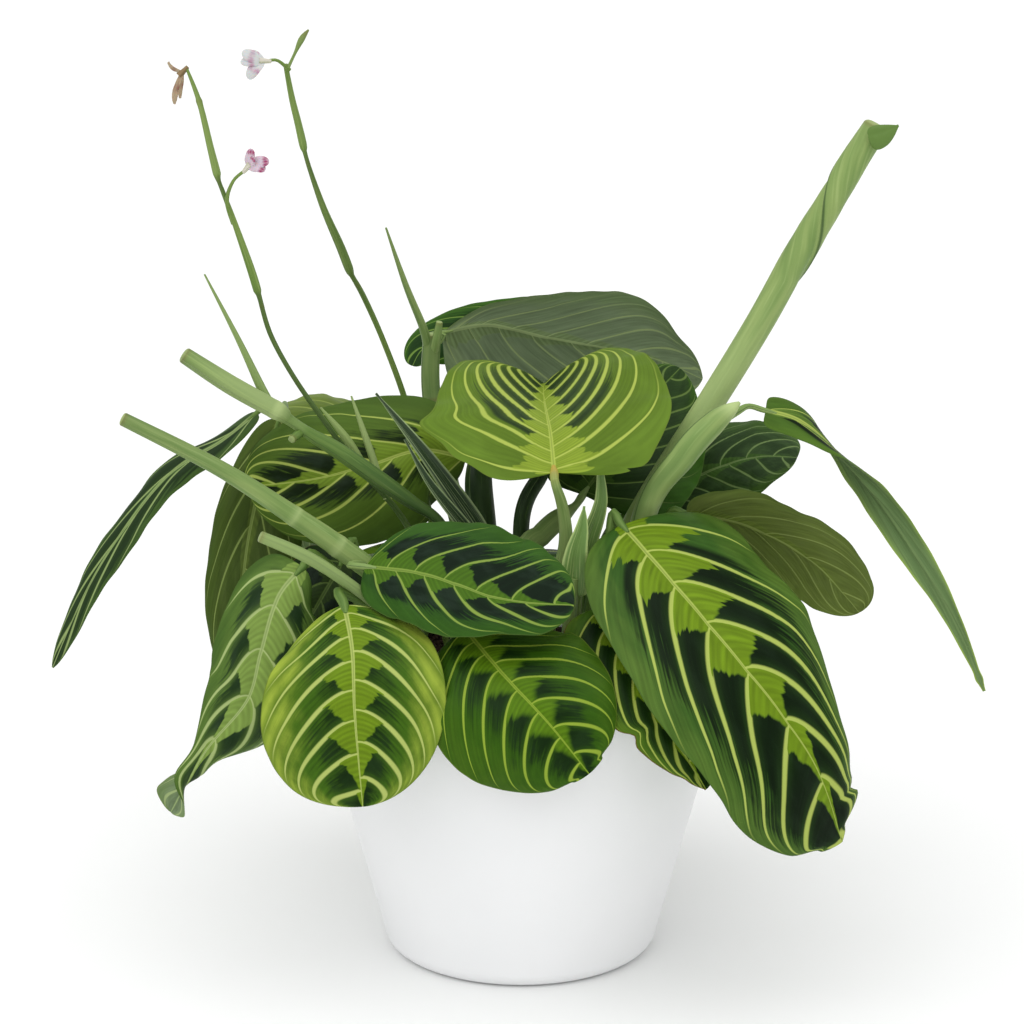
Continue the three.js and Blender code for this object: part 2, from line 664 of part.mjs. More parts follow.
// Left flower stem, with two small blades beside its foot and a side branch
const leftFlowerStem = standingStalk([-24, 2], 1.6, [[-38, 0, 150, 1.5], [-55, -2, 176, 1.4],
  [-61, -2, 186, 1.2], [-70, -2, 200, 1.1], [-83, -2, 217, 1.1], [-90, 0, 237, 1.7],
  [-98, 2, 260, 1.2], [-103, 4, 276, 1.6],
  [-109, 6, 301, 0.9], [-114, 8, 313, 0.6]], 20);
const leftFlowerParts = [
  leftFlowerStem,
  stalkSolid([[-99, 2.5, 262, 1], [-100, 2, 269, 1], [-96, 0, 277, 0.7], [-94, -1, 280, 0.7]], 5),
  stalkSolid([[-52, -2, 171, 1.2], [-60, -6, 186, 1.6], [-69, -8, 198, 0.5]], 5),
  stalkSolid([[-47, -1, 164, 1.2], [-53, 1, 182, 1.4], [-59, 2, 200, 0.5]], 5),
];
addMesh('flower_stem_left', join(leftFlowerParts), STALK_GREEN, STALK_ROUGHNESS);

// Middle flower stem, forked at the top into a bud and a thin flower stalk
const middleFlowerStem = standingStalk([-24, 28], 1.6, [[-32, 44, 140, 1.6], [-40, 58, 172, 1.5],
  [-43, 60, 188, 1.5], [-52, 57, 210, 1.4], [-62, 52, 236, 1.6], [-69, 48, 256, 1.2], [-77, 44, 281, 1.6],
  [-79, 41, 297, 1.2], [-82, 38, 311, 1]], 18);
const middleFlowerParts = [
  middleFlowerStem,
  stalkSolid([[-82, 38, 309, 0.9], [-78, 36, 317, 1.1], [-74, 35, 323, 0.5]], 4),
  stalkSolid([[-81, 38, 309, 0.9], [-85, 36, 312, 0.7], [-88, 35, 312, 0.7]], 3),
];
addMesh('flower_stem_middle', join(middleFlowerParts), STALK_GREEN, STALK_ROUGHNESS);

// Small flowers: a short tube with petals spread from it
function flowerSolid(base, along, petals) {
  const start = new THREE.Vector3(...base);
  const line = new THREE.Vector3(...along).normalize();
  const throat = start.clone().addScaledVector(line, 3);
  const tube = [[start.x, start.y, start.z, 0.8], [throat.x, throat.y, throat.z, 1.3]];
  const solids = [stalkSolid(tube, 1)];
  for (const { tip, up, halfWidth } of petals) {
    const end = throat.clone().add(new THREE.Vector3(...tip));
    const bend = throat.clone().lerp(end, 0.5).addScaledVector(new THREE.Vector3(...up), 0.8);
    const inner = start.clone().addScaledVector(line, 1.4);
    solids.push(bladeSolid({
      ...PLAIN_LEAF,
      midrib: [inner, bend, end].map((p) => [p.x, p.y, p.z]),
      upperSide: [up, up],
      halfWidth,
      turnDown: [0.4, 0.4],
      waveHeight: 0.3,
      waves: 1,
      rows: 4,
      columns: 2,
      thickness: 0.7,
    }));
  }
  return join(solids);
}

addMesh('flower_left', flowerSolid([-93.7, -1.1, 280.4], [0.53, -0.27, 0.8], [
  { tip: [-1, -1.5, 5.5], up: [-0.3, -0.9, 0.3], halfWidth: 2 },
  { tip: [6, -1, 0.5], up: [0, -0.9, 0.4], halfWidth: 2.2 },
  { tip: [4, -2, -2.5], up: [0, -0.9, 0.4], halfWidth: 1.8 },
  { tip: [-3, -2, 0.5], up: [0, -0.9, 0.4], halfWidth: 1.6 },
]), PETAL, PETAL_ROUGHNESS);

addMesh('flower_middle', flowerSolid([-88.4, 34.9, 312], [-1, -0.2, 0], [
  { tip: [-4.5, -1, 3], up: [0, -0.9, 0.4], halfWidth: 2 },
  { tip: [-4, -2, -5], up: [0, -0.9, 0.4], halfWidth: 2 },
  { tip: [-5.5, -1, 0], up: [0, -0.9, 0.4], halfWidth: 1.8 },
  { tip: [-1, 1.5, 3.5], up: [0, -0.9, 0.4], halfWidth: 1.6 },
]), PETAL, PETAL_ROUGHNESS);

addMesh('flower_left_withered', flowerSolid([-114.8, 8, 312.6], [-1, 0, -0.3], [
  { tip: [-1.5, -1, -9], up: [-0.5, -0.8, 0], halfWidth: 1.4 },
  { tip: [0.5, -1, -7], up: [0.4, -0.8, 0], halfWidth: 1.3 },
]), PETAL_WITHERED, PETAL_ROUGHNESS);

// Turned shapes: a profile of radius and height, starting and ending on the axis
function turnedSolid(profile, segments, heightAt = (radius, angle, height) => height) {
  const positions = [0, 0, profile[0][1]];
  const indices = [];
  const rings = profile.slice(1, -1);
  for (const [radius, height] of rings) {
    for (let k = 0; k < segments; k += 1) {
      const angle = (2 * Math.PI * k) / segments;
      positions.push(radius * Math.cos(angle), radius * Math.sin(angle), heightAt(radius, angle, height));
    }
  }
  positions.push(0, 0, profile[profile.length - 1][1]);
  const last = positions.length / 3 - 1;
  const id = (ring, k) => 1 + ring * segments + (k % segments);
  for (let k = 0; k < segments; k += 1) {
    indices.push(0, id(0, k + 1), id(0, k));
    for (let ring = 0; ring < rings.length - 1; ring += 1) {
      indices.push(id(ring, k), id(ring, k + 1), id(ring + 1, k + 1));
      indices.push(id(ring, k), id(ring + 1, k + 1), id(ring + 1, k));
    }
    indices.push(id(rings.length - 1, k), id(rings.length - 1, k + 1), last);
  }
  return { positions, indices };
}

const outerRadius = (height) => POT_SIDE_START + POT_FLARE * height;
const innerRadius = (height) => outerRadius(height) - POT_WALL;

// The pot: a plain tapered cup with a rounded foot and a rounded lip
addMesh('pot', turnedSolid([
  [0, 0],
  [POT_FOOT_RADIUS, 0],
  [POT_FOOT_RADIUS + 3.6, 1],
  [POT_FOOT_RADIUS + 6, 3.2],
  [outerRadius(7), 7],
  [outerRadius(POT_HEIGHT / 2), POT_HEIGHT / 2],
  [outerRadius(POT_HEIGHT - 2), POT_HEIGHT - 2],
  [outerRadius(POT_HEIGHT) - 0.6, POT_HEIGHT - 0.5],
  [outerRadius(POT_HEIGHT) - POT_WALL / 2, POT_HEIGHT],
  [innerRadius(POT_HEIGHT) + 0.6, POT_HEIGHT - 0.5],
  [innerRadius(POT_HEIGHT - 2), POT_HEIGHT - 2],
  [innerRadius(POT_FLOOR + 5), POT_FLOOR + 5],
  [POT_FOOT_RADIUS, POT_FLOOR],
  [0, POT_FLOOR],
], POT_SEGMENTS), WHITE_POT, POT_ROUGHNESS);

// The soil: fills the pot to just below the lip, with an uneven top and a hole for each stalk
const soilHeight = (radius, angle, height) => {
  const uneven = 0.7 * Math.sin(3 * angle + radius * 0.12) + 0.5 * Math.sin(5 * angle - radius * 0.2);
  return height > SOIL_TOP - 1 ? height + uneven : height;
};
const soilBody = turnedSolid([
  [0, POT_FLOOR + GAP],
  [POT_FOOT_RADIUS - 1, POT_FLOOR + GAP],
  [innerRadius(POT_FLOOR + 5) - 1, POT_FLOOR + 6],
  [innerRadius(SOIL_TOP - 3) - 1, SOIL_TOP - 3],
  [innerRadius(SOIL_TOP) - 3, SOIL_TOP - 0.5],
  [innerRadius(SOIL_TOP) - 16, SOIL_TOP + 0.5],
  [36, SOIL_TOP + 1],
  [18, SOIL_TOP + 1.5],
  [0, SOIL_TOP + 1.5],
], SOIL_SEGMENTS, soilHeight);
addMesh('soil', cut(soilBody, holes), DARK_SOIL, SOIL_ROUGHNESS);

export default part;
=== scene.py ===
# The potted prayer plant, dressed for its portrait: metres, +Z up, +X to the viewer's right.
import math

import bpy
import numpy as np
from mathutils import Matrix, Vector


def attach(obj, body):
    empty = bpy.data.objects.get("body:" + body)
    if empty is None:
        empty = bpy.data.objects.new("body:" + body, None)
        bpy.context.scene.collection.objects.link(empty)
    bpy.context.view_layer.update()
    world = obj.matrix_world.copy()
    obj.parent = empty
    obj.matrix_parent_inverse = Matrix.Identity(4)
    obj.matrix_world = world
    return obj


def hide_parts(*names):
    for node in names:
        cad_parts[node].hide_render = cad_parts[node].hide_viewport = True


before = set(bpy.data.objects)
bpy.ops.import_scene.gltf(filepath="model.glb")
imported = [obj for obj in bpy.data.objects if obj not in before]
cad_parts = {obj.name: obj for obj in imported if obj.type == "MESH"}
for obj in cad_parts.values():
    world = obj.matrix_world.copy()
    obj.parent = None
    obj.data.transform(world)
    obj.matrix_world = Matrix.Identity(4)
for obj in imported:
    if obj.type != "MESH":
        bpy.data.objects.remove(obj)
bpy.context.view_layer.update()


# Camera
# It stands a metre in front of the plant and looks down on it at 14 degrees,
# as far away as a portrait lens, so that the pot's sides stay nearly straight.
MM = 0.001
CAMERA_PLACE = (-0.0032, -0.9703, 0.4009)
CAMERA_TILT = math.radians(76)
CAMERA_LENS = 100.45
CAMERA_FILM = 36

camera_data = bpy.data.cameras.new("camera")
camera_data.lens = CAMERA_LENS
camera_data.sensor_width = CAMERA_FILM
camera = bpy.data.objects.new("camera", camera_data)
camera.location = CAMERA_PLACE
camera.rotation_euler = (CAMERA_TILT, 0, 0)
bpy.context.scene.collection.objects.link(camera)
bpy.context.scene.camera = camera


# Floor and light
# A plain white floor that runs out of sight, an even pale sky,
# and one wide soft light from high above the viewer's left shoulder.
FLOOR_SIZE = 30
FLOOR_WHITE = (0.96, 0.965, 0.96, 1.0)
FLOOR_GRAIN = 0.015
TOP_LIGHT = 1.6
TOP_LIGHT_SPREAD = math.radians(80)
TOP_LIGHT_WAY = (0.12, 0.42, -1)
SKY_LIGHT = 0.68


def add(tree, kind, inputs=None, **settings):
    """Adds a node to a tree; inputs are numbers, or outputs of other nodes, by name or place."""
    node = tree.nodes.new(kind)
    for name, setting in settings.items():
        setattr(node, name, setting)
    for key, value in (inputs or {}).items():
        if isinstance(value, Value):
            value = value.socket
        if isinstance(value, bpy.types.NodeSocket):
            tree.links.new(value, node.inputs[key])
        else:
            node.inputs[key].default_value = value
    return node


def calc(operation, *values):
    """One step of arithmetic in the node tree that the values belong to."""
    tree = next(value.tree for value in values if isinstance(value, Value))
    return Value(add(tree, "ShaderNodeMath", dict(enumerate(values)), operation=operation).outputs[0])


class Value:
    """The output of a node. Signs between such values add the nodes that work the result out."""

    def __init__(self, socket):
        self.socket = socket
        self.tree = socket.id_data

    def __add__(self, other):
        return calc("ADD", self, other)

    def __sub__(self, other):
        return calc("SUBTRACT", self, other)

    def __rsub__(self, other):
        return calc("SUBTRACT", other, self)

    def __mul__(self, other):
        return calc("MULTIPLY", self, other)

    def __truediv__(self, other):
        return calc("DIVIDE", self, other)

    def __rtruediv__(self, other):
        return calc("DIVIDE", other, self)

    def __pow__(self, other):
        return calc("POWER", self, other)

    def __abs__(self):
        return calc("ABSOLUTE", self)


def own_place(tree):
    """Where a point of the surface lies on the piece itself, in metres."""
    return Value(add(tree, "ShaderNodeTexCoord").outputs["Object"])


def noise(place, scale, detail=2.0):
    """Soft random values from 0 to 1."""
    texture = add(place.tree, "ShaderNodeTexNoise", {"Vector": place, "Scale": scale, "Detail": detail})
    return Value(texture.outputs["Fac"])


def brighter(colour, factor):
    """A colour made lighter or darker by a factor."""
    node = add(factor.tree, "ShaderNodeHueSaturation", {"Color": colour, "Value": factor})
    return node.outputs["Color"]


def new_material(name, roughness, specular):
    """An empty material with its surface shader; returns the material, its tree and the shader."""
    material = bpy.data.materials.new(name)
    material.use_nodes = True
    shader = material.node_tree.nodes["Principled BSDF"]
    shader.inputs["Roughness"].default_value = roughness
    shader.inputs["Specular IOR Level"].default_value = specular
    return material, material.node_tree, shader


def mesh_object(name, points, faces):
    """A smooth mesh piece from points in metres and lists of corners."""
    mesh = bpy.data.meshes.new(name)
    mesh.from_pydata([tuple(p) for p in points], [], faces)
    mesh.polygons.foreach_set("use_smooth", [True] * len(mesh.polygons))
    piece = bpy.data.objects.new(name, mesh)
    bpy.context.scene.collection.objects.link(piece)
    return piece


half = FLOOR_SIZE / 2
floor = mesh_object("floor", [(-half, -half, 0), (half, -half, 0), (half, half, 0), (-half, half, 0)],
                    [(0, 1, 2, 3)])
floor_material, floor_tree, floor_shader = new_material("floor_white", 0.9, 0.1)
floor_tone = noise(own_place(floor_tree), 9.0) * FLOOR_GRAIN + (1 - FLOOR_GRAIN)
floor_tree.links.new(brighter(FLOOR_WHITE, floor_tone), floor_shader.inputs["Base Color"])
floor.data.materials.append(floor_material)

world = bpy.data.worlds.new("sky")
world.use_nodes = True
world.node_tree.nodes["Background"].inputs["Color"].default_value = (1.0, 1.0, 1.0, 1.0)
world.node_tree.nodes["Background"].inputs["Strength"].default_value = SKY_LIGHT
bpy.context.scene.world = world
bpy.context.scene.view_settings.view_transform = "Standard"

sun_data = bpy.data.lights.new("soft_top_light", "SUN")
sun_data.energy = TOP_LIGHT
sun_data.angle = TOP_LIGHT_SPREAD
sun = bpy.data.objects.new("soft_top_light", sun_data)
sun.rotation_euler = Vector(TOP_LIGHT_WAY).to_track_quat("-Z", "Y").to_euler()
bpy.context.scene.collection.objects.link(sun)


# Pot
# A plain cover pot of matte white glazed clay with a wall of 4 mm. It was turned in one piece,
# with straight sides that flare upwards, a rounded foot and a rounded lip.
POT_HEIGHT = 110
POT_FOOT_RADIUS = 42
POT_WALL = 4
POT_FLOOR = 6
POT_SIDE_START = 47.6
POT_FLARE = 0.265
POT_SEGMENTS = 144
FOOT_ROUND = 7
FOOT_STEPS = 8
LIP_STEPS = 8


def srgb(red, green, blue):
    """A colour seen on a screen, 0 to 255, as the renderer's own linear colour."""
    shares = [value / 255 for value in (red, green, blue)]
    return tuple(s / 12.92 if s < 0.04045 else ((s + 0.055) / 1.055) ** 2.4 for s in shares) + (1.0,)


def two_tone(name, roughness, specular, kind, sizes, first, second):
    """A surface whose colour wanders between two tones, after a texture that is returned as well."""
    material, tree, shader = new_material(name, roughness, specular)
    texture = add(tree, kind, {"Vector": own_place(tree), **sizes}).outputs[0]
    tone = add(tree, "ShaderNodeValToRGB", {"Fac": texture})
    tone.color_ramp.elements[0].color = srgb(*first)
    tone.color_ramp.elements[1].color = srgb(*second)
    tree.links.new(tone.outputs["Color"], shader.inputs["Base Color"])
    return material, tree, shader, texture


def roughen(shader, height, strength, depth):
    """Fine dents and ridges on a surface; their depth is in metres."""
    tree = shader.id_data
    bump = add(tree, "ShaderNodeBump", {"Strength": strength, "Distance": depth, "Height": height})
    tree.links.new(bump.outputs["Normal"], shader.inputs["Normal"])


def pot_radius(height):
    """The outer radius of the pot's side at a height, in millimetres."""
    return POT_SIDE_START + POT_FLARE * height


def turned(name, profile, segments):
    """A closed turned shape from radius and height pairs, the first and last on the axis."""
    rings = profile[1:-1]
    points = [(0, 0, profile[0][1])]
    for radius, height in rings:
        for k in range(segments):
            angle = 2 * math.pi * k / segments
            points.append((radius * math.cos(angle), radius * math.sin(angle), height))
    points.append((0, 0, profile[-1][1]))
    top = len(points) - 1
    faces = []
    for k in range(segments):
        ahead = (k + 1) % segments
        faces.append((0, 1 + ahead, 1 + k))
        for ring in range(len(rings) - 1):
            low = 1 + ring * segments
            high = low + segments
            faces.append((low + k, low + ahead, high + ahead, high + k))
        last = 1 + (len(rings) - 1) * segments
        faces.append((last + k, last + ahead, top))
    return mesh_object(name, np.array(points) * MM, faces)


pot_profile = [(0, 0), (POT_FOOT_RADIUS - 0.6, 0), (POT_FOOT_RADIUS, 0)]
foot_out = pot_radius(FOOT_ROUND) - POT_FOOT_RADIUS
for step in range(1, FOOT_STEPS + 1):
    turn = math.pi / 2 * step / FOOT_STEPS
    pot_profile.append((POT_FOOT_RADIUS + foot_out * math.sin(turn) ** 0.9,
                        FOOT_ROUND * (1 - math.cos(turn))))
for height in (20, 50, 80, POT_HEIGHT - 3):
    pot_profile.append((pot_radius(height), height))
lip_round = POT_WALL / 2
for step in range(LIP_STEPS + 1):
    turn = math.pi * step / LIP_STEPS
    pot_profile.append((pot_radius(POT_HEIGHT) - lip_round + lip_round * math.cos(turn),
                        POT_HEIGHT - lip_round + lip_round * math.sin(turn)))
for height in (POT_HEIGHT - 4, 60, POT_FLOOR + 8):
    pot_profile.append((pot_radius(height) - POT_WALL, height))
pot_profile += [(POT_FOOT_RADIUS + 1, POT_FLOOR + 0.8), (POT_FOOT_RADIUS - 3, POT_FLOOR), (0, POT_FLOOR)]
pot = turned("pot_white_clay", pot_profile, POT_SEGMENTS)

pot_material, pot_tree, pot_shader, _ = two_tone(
    "pot_matte_white", 0.55, 0.35, "ShaderNodeTexNoise", {"Scale": 18.0, "Detail": 3.0},
    (237, 238, 239), (246, 246, 247))
roughen(pot_shader, noise(own_place(pot_tree), 900.0), 0.12, 0.2 * MM)
pot.data.materials.append(pot_material)
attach(pot, "root")
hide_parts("pot")


# Soil
# Dark potting soil that fills the pot to 12 mm below its lip, with loose crumbs
# and a few white grains of perlite lying on it.
SOIL_TOP = 98
SOIL_SINK = 0.6
SOIL_RADIUS = pot_radius(SOIL_TOP) - POT_WALL - 0.4
SOIL_RINGS = 26
SOIL_SEGMENTS = 96
CRUMB_SIZES = (0.6 * MM, 2.0 * MM)
PERLITE_SIZES = (0.7 * MM, 1.5 * MM)
CRUMB_LEAST_HEIGHT = 80 * MM
CRUMB_LEAST_LEVEL = 0.7
CRUMB_LARGEST_TURN = 6.28

soil_profile = [(0, POT_FLOOR + 1), (POT_FOOT_RADIUS - 4, POT_FLOOR + 1), (pot_radius(20) - POT_WALL - 1, 20)]
for ring in range(SOIL_RINGS):
    soil_profile.append((SOIL_RADIUS * (1 - ring / SOIL_RINGS), SOIL_TOP - SOIL_SINK))
soil_profile.append((0, SOIL_TOP - SOIL_SINK))
soil = turned("soil_body", soil_profile, SOIL_SEGMENTS)
for vertex in soil.data.vertices:
    if vertex.co.z > (SOIL_TOP - 2) * MM:
        x, y = vertex.co.x / MM, vertex.co.y / MM
        uneven = 0.9 * math.sin(x * 0.13 + y * 0.07) + 0.7 * math.sin(y * 0.19 - x * 0.05)
        vertex.co.z += uneven * MM

soil_material, _, soil_shader, soil_spots = two_tone(
    "soil_dark", 0.95, 0.2, "ShaderNodeTexVoronoi", {"Scale": 420.0}, (62, 47, 36), (26, 19, 14))
roughen(soil_shader, soil_spots, 0.8, 1.0 * MM)
soil.data.materials.append(soil_material)
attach(soil, "root")
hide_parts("soil")

perlite_material, _, _, _ = two_tone(
    "perlite_white", 0.9, 0.2, "ShaderNodeTexNoise", {"Scale": 600.0}, (190, 184, 172), (236, 232, 224))


def node_tree(name, **kinds):
    """An empty geometry tree; returns its inputs too, the mesh and one of each named kind."""
    tree = bpy.data.node_groups.new(name, "GeometryNodeTree")
    tree.interface.new_socket("mesh", in_out="INPUT", socket_type="NodeSocketGeometry")
    for label, kind in kinds.items():
        tree.interface.new_socket(label, in_out="INPUT", socket_type="NodeSocket" + kind)
    tree.interface.new_socket("mesh", in_out="OUTPUT", socket_type="NodeSocketGeometry")
    return tree, {socket.name: Value(socket) for socket in tree.nodes.new("NodeGroupInput").outputs}


def finish_tree(tree, geometry, materials):
    """Ends a tree: instances made real, then its materials, each with its selection."""
    real = add(tree, "GeometryNodeRealizeInstances", {"Geometry": geometry}).outputs["Geometry"]
    for material, selection in materials:
        chosen = {"Geometry": real, "Material": material}
        if selection is not None:
            chosen["Selection"] = selection
        real = add(tree, "GeometryNodeSetMaterial", chosen).outputs["Geometry"]
    add(tree, "NodeGroupOutput", {"mesh": real})


def grown(piece, tree, **values):
    """Runs a geometry tree on a piece and turns the result into the piece's plain mesh."""
    modifier = piece.modifiers.new("growth", "NODES")
    modifier.node_group = tree
    for item in tree.interface.items_tree:
        if item.in_out == "INPUT" and item.name in values:
            value = values[item.name]
            modifier[item.identifier] = float(value) if item.socket_type == "NodeSocketFloat" else value
    bpy.context.view_layer.update()
    plain = bpy.data.meshes.new_from_object(piece.evaluated_get(bpy.context.evaluated_depsgraph_get()))
    piece.modifiers.remove(modifier)
    piece.data = plain


crumb_tree, crumb_in = node_tree("crumbs_on_soil", density="Float", smallest="Float", largest="Float",
                                 seed="Int", material="Material")
crumb_up = add(crumb_tree, "ShaderNodeSeparateXYZ",
               {0: add(crumb_tree, "GeometryNodeInputNormal").outputs[0]})
crumb_level = add(crumb_tree, "FunctionNodeCompare", {0: crumb_up.outputs["Z"], 1: CRUMB_LEAST_LEVEL},
                  operation="GREATER_THAN")
crumb_place = add(crumb_tree, "ShaderNodeSeparateXYZ",
                  {0: add(crumb_tree, "GeometryNodeInputPosition").outputs[0]})
crumb_high = add(crumb_tree, "FunctionNodeCompare", {0: crumb_place.outputs["Z"], 1: CRUMB_LEAST_HEIGHT},
                 operation="GREATER_THAN")
crumb_where = add(crumb_tree, "FunctionNodeBooleanMath",
                  {0: crumb_level.outputs[0], 1: crumb_high.outputs[0]}, operation="AND")
crumb_points = add(crumb_tree, "GeometryNodeDistributePointsOnFaces",
                   {"Mesh": crumb_in["mesh"], "Selection": crumb_where.outputs[0],
                    "Density": crumb_in["density"], "Seed": crumb_in["seed"]})
crumb_ball = add(crumb_tree, "GeometryNodeMeshIcoSphere", {"Radius": 1.0, "Subdivisions": 2})
crumb_dents = add(crumb_tree, "ShaderNodeTexNoise", {"Scale": 1.3, "Detail": 1.0})
crumb_dent = add(crumb_tree, "ShaderNodeVectorMath",
                 {0: crumb_dents.outputs["Color"], 1: (0.5, 0.5, 0.5)}, operation="SUBTRACT")
crumb_shape = add(crumb_tree, "GeometryNodeSetPosition",
                  {"Geometry": crumb_ball.outputs["Mesh"], "Offset": crumb_dent.outputs[0]})
crumb_turn = add(crumb_tree, "FunctionNodeRandomValue",
                 {"Max": (CRUMB_LARGEST_TURN,) * 3, "Seed": crumb_in["seed"]}, data_type="FLOAT_VECTOR")
crumb_size = add(crumb_tree, "FunctionNodeRandomValue",
                 {2: crumb_in["smallest"], 3: crumb_in["largest"], "Seed": crumb_in["seed"]},
                 data_type="FLOAT")
crumb_copies = add(crumb_tree, "GeometryNodeInstanceOnPoints",
                   {"Points": crumb_points.outputs["Points"], "Instance": crumb_shape.outputs[0],
                    "Rotation": crumb_turn.outputs[0], "Scale": crumb_size.outputs[1]})
finish_tree(crumb_tree, crumb_copies.outputs[0], [(crumb_in["material"], None)])

for name, density, sizes, seed, material in (
        ("soil_crumbs", 95000, CRUMB_SIZES, 7, soil_material),
        ("soil_perlite", 5000, PERLITE_SIZES, 3, perlite_material)):
    crumbs = bpy.data.objects.new(name, soil.data.copy())
    bpy.context.scene.collection.objects.link(crumbs)
    grown(crumbs, crumb_tree, density=density, smallest=sizes[0], largest=sizes[1], seed=seed,
          material=material)
    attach(crumbs, "root")


# Leaves
# Living maranta leaves, each one thin blade that grew from its stalk: a pale feather band along the
# midrib, arched pale veins, dark blotches between them, and a duller underside with a raised midrib.
BLADE_END_WIDTH = 1.0
LENGTH_STEPS = 120
WAY_STEP = 0.01
RUFFLES = 9
LEAF_ROWS = 104
LEAF_COLUMNS = 44
LEAF_THICKNESS = 0.55 * MM
VEIN_RELIEF = 0.45 * MM
MIDRIB_RELIEF = 0.8 * MM
MIDRIB_WIDTH = 1.1 * MM
SWEEP_EASE = 0.69
CROWDING = 0.75
VEIN_SWAY = 0.06
FINE_RIBS = 6
LEAF_SHINE = 0.07


def through_points(points, shares):
    """Places on a smooth curve through the points, at shares from 0 to 1."""
    points = np.asarray(points, float)
    last = len(points) - 1
    place = np.clip(shares, 0, 1) * last
    index = np.minimum(np.floor(place).astype(int), last - 1)
    f = (place - index)[:, None]
    a, b, c, d = (points[np.clip(index + k, 0, last)] for k in (-1, 0, 1, 2))
    start = (c - a) / 2
    end = (d - b) / 2
    rise = c - b
    return b + f * (start + f * (3 * rise - 2 * start - end + f * (start + end - 2 * rise)))


def length_shares(points, wanted):
    """The shares of the curve at which the wanted parts of its length lie."""
    steps = np.linspace(0, 1, LENGTH_STEPS + 1)
    places = through_points(np.asarray(points, float)[:, :3], steps)
    lengths = np.concatenate([[0], np.cumsum(np.linalg.norm(np.diff(places, axis=0), axis=1))])
    return np.interp(np.asarray(wanted) * lengths[-1], lengths, steps), lengths[-1]


def unit(rows):
    """Vectors brought to a length of one."""
    return rows / np.linalg.norm(rows, axis=-1, keepdims=True)


# A blade's sizes: pairs are for its left and right side; a nick is side, place along, depth and spread
PLAIN_LEAF = {
    "round_left": (0.45, 0.5), "round_right": (0.45, 0.5), "sides": (1, 1), "turn_down": (0.5, 0.5),
    "fold_up": (0.12, 0.12), "fold_more": 0.0, "wave": 0.8, "waves": 3, "ruffle": 0.25, "nicks": (),
    "rows": LEAF_ROWS, "columns": LEAF_COLUMNS,
}


def blade_object(name, leaf):
    """The middle sheet of a blade; it keeps its place along and across the leaf as attributes."""
    leaf = {**PLAIN_LEAF, **leaf}
    rows, columns = leaf["rows"], leaf["columns"]
    t = (1 - np.cos(np.pi * np.arange(rows + 1) / rows)) / 2
    shares, length = length_shares(leaf["midrib"], t)
    centre = through_points(leaf["midrib"], shares)
    ahead = through_points(leaf["midrib"], shares + WAY_STEP)
    along = unit(ahead - through_points(leaf["midrib"], shares - WAY_STEP))
    up = through_points(leaf["upper_side"], t)
    up = unit(up - np.sum(up * along, axis=1, keepdims=True) * along)
    right = np.cross(along, up)
    across = 2 * np.arange(columns + 1) / columns - 1
    points = np.zeros((rows + 1, columns + 1, 3))
    half_width = np.zeros((rows + 1, columns + 1))
    for column, v in enumerate(across):
        side = 0 if v < 0 else 1
        base, tip = leaf["round_left"] if side == 0 else leaf["round_right"]
        peak = base / (base + tip)
        outline = t ** base * (1 - t) ** tip / (peak ** base * (1 - peak) ** tip)
        width = np.maximum(leaf["half_width"] * leaf["sides"][side] * outline, BLADE_END_WIDTH / 2)
        for nick_side, place, depth, spread in leaf["nicks"]:
            if nick_side == side:
                width = width * (1 - depth * np.exp(-((t - place) / spread) ** 2))
        turn = max(leaf["turn_down"][side], 0.001)
        lift = leaf["fold_up"][side] + leaf["fold_more"] * t
        reach = abs(v)
        sideways = width * (np.sin(lift) - np.sin(lift - turn * reach)) / turn
        height = width * (np.cos(lift - turn * reach) - np.cos(lift)) / turn
        middle = np.sin(np.pi * t) ** 0.5
        phase = 0 if side == 0 else 2
        height = height + leaf["wave"] * reach ** 2 * middle * np.sin(2 * np.pi * leaf["waves"] * t + phase)
        height = height + leaf["ruffle"] * reach ** 5 * middle * np.sin(2 * np.pi * RUFFLES * t + 3 * phase)
        points[:, column] = centre + right * (np.sign(v) * sideways)[:, None] + up * height[:, None]
        half_width[:, column] = width
    faces = []
    for i in range(rows):
        for j in range(columns):
            corner = i * (columns + 1) + j
            faces.append((corner, corner + 1, corner + columns + 2, corner + columns + 1))
    piece = mesh_object(name, points.reshape(-1, 3) * MM, faces)
    for label, values in (("leaf_along", np.repeat(t, columns + 1)),
                          ("leaf_across", np.tile(across, rows + 1)),
                          ("half_width", half_width.reshape(-1) * MM)):
        attribute = piece.data.attributes.new(label, "FLOAT", "POINT")
        attribute.data.foreach_set("value", values.astype(np.float32))
    return piece, length * MM


def fade(value, start, end):
    """0 before start, 1 after end, and smooth between them."""
    sizes = {"Value": value, "From Min": start, "From Max": end}
    return Value(add(value.tree, "ShaderNodeMapRange", sizes, interpolation_type="SMOOTHSTEP").outputs[0])


def hump(distance, width):
    """1 at distance 0, falling softly to 0 a few widths away."""
    share = distance / width
    return calc("EXPONENT", share * share * -1)


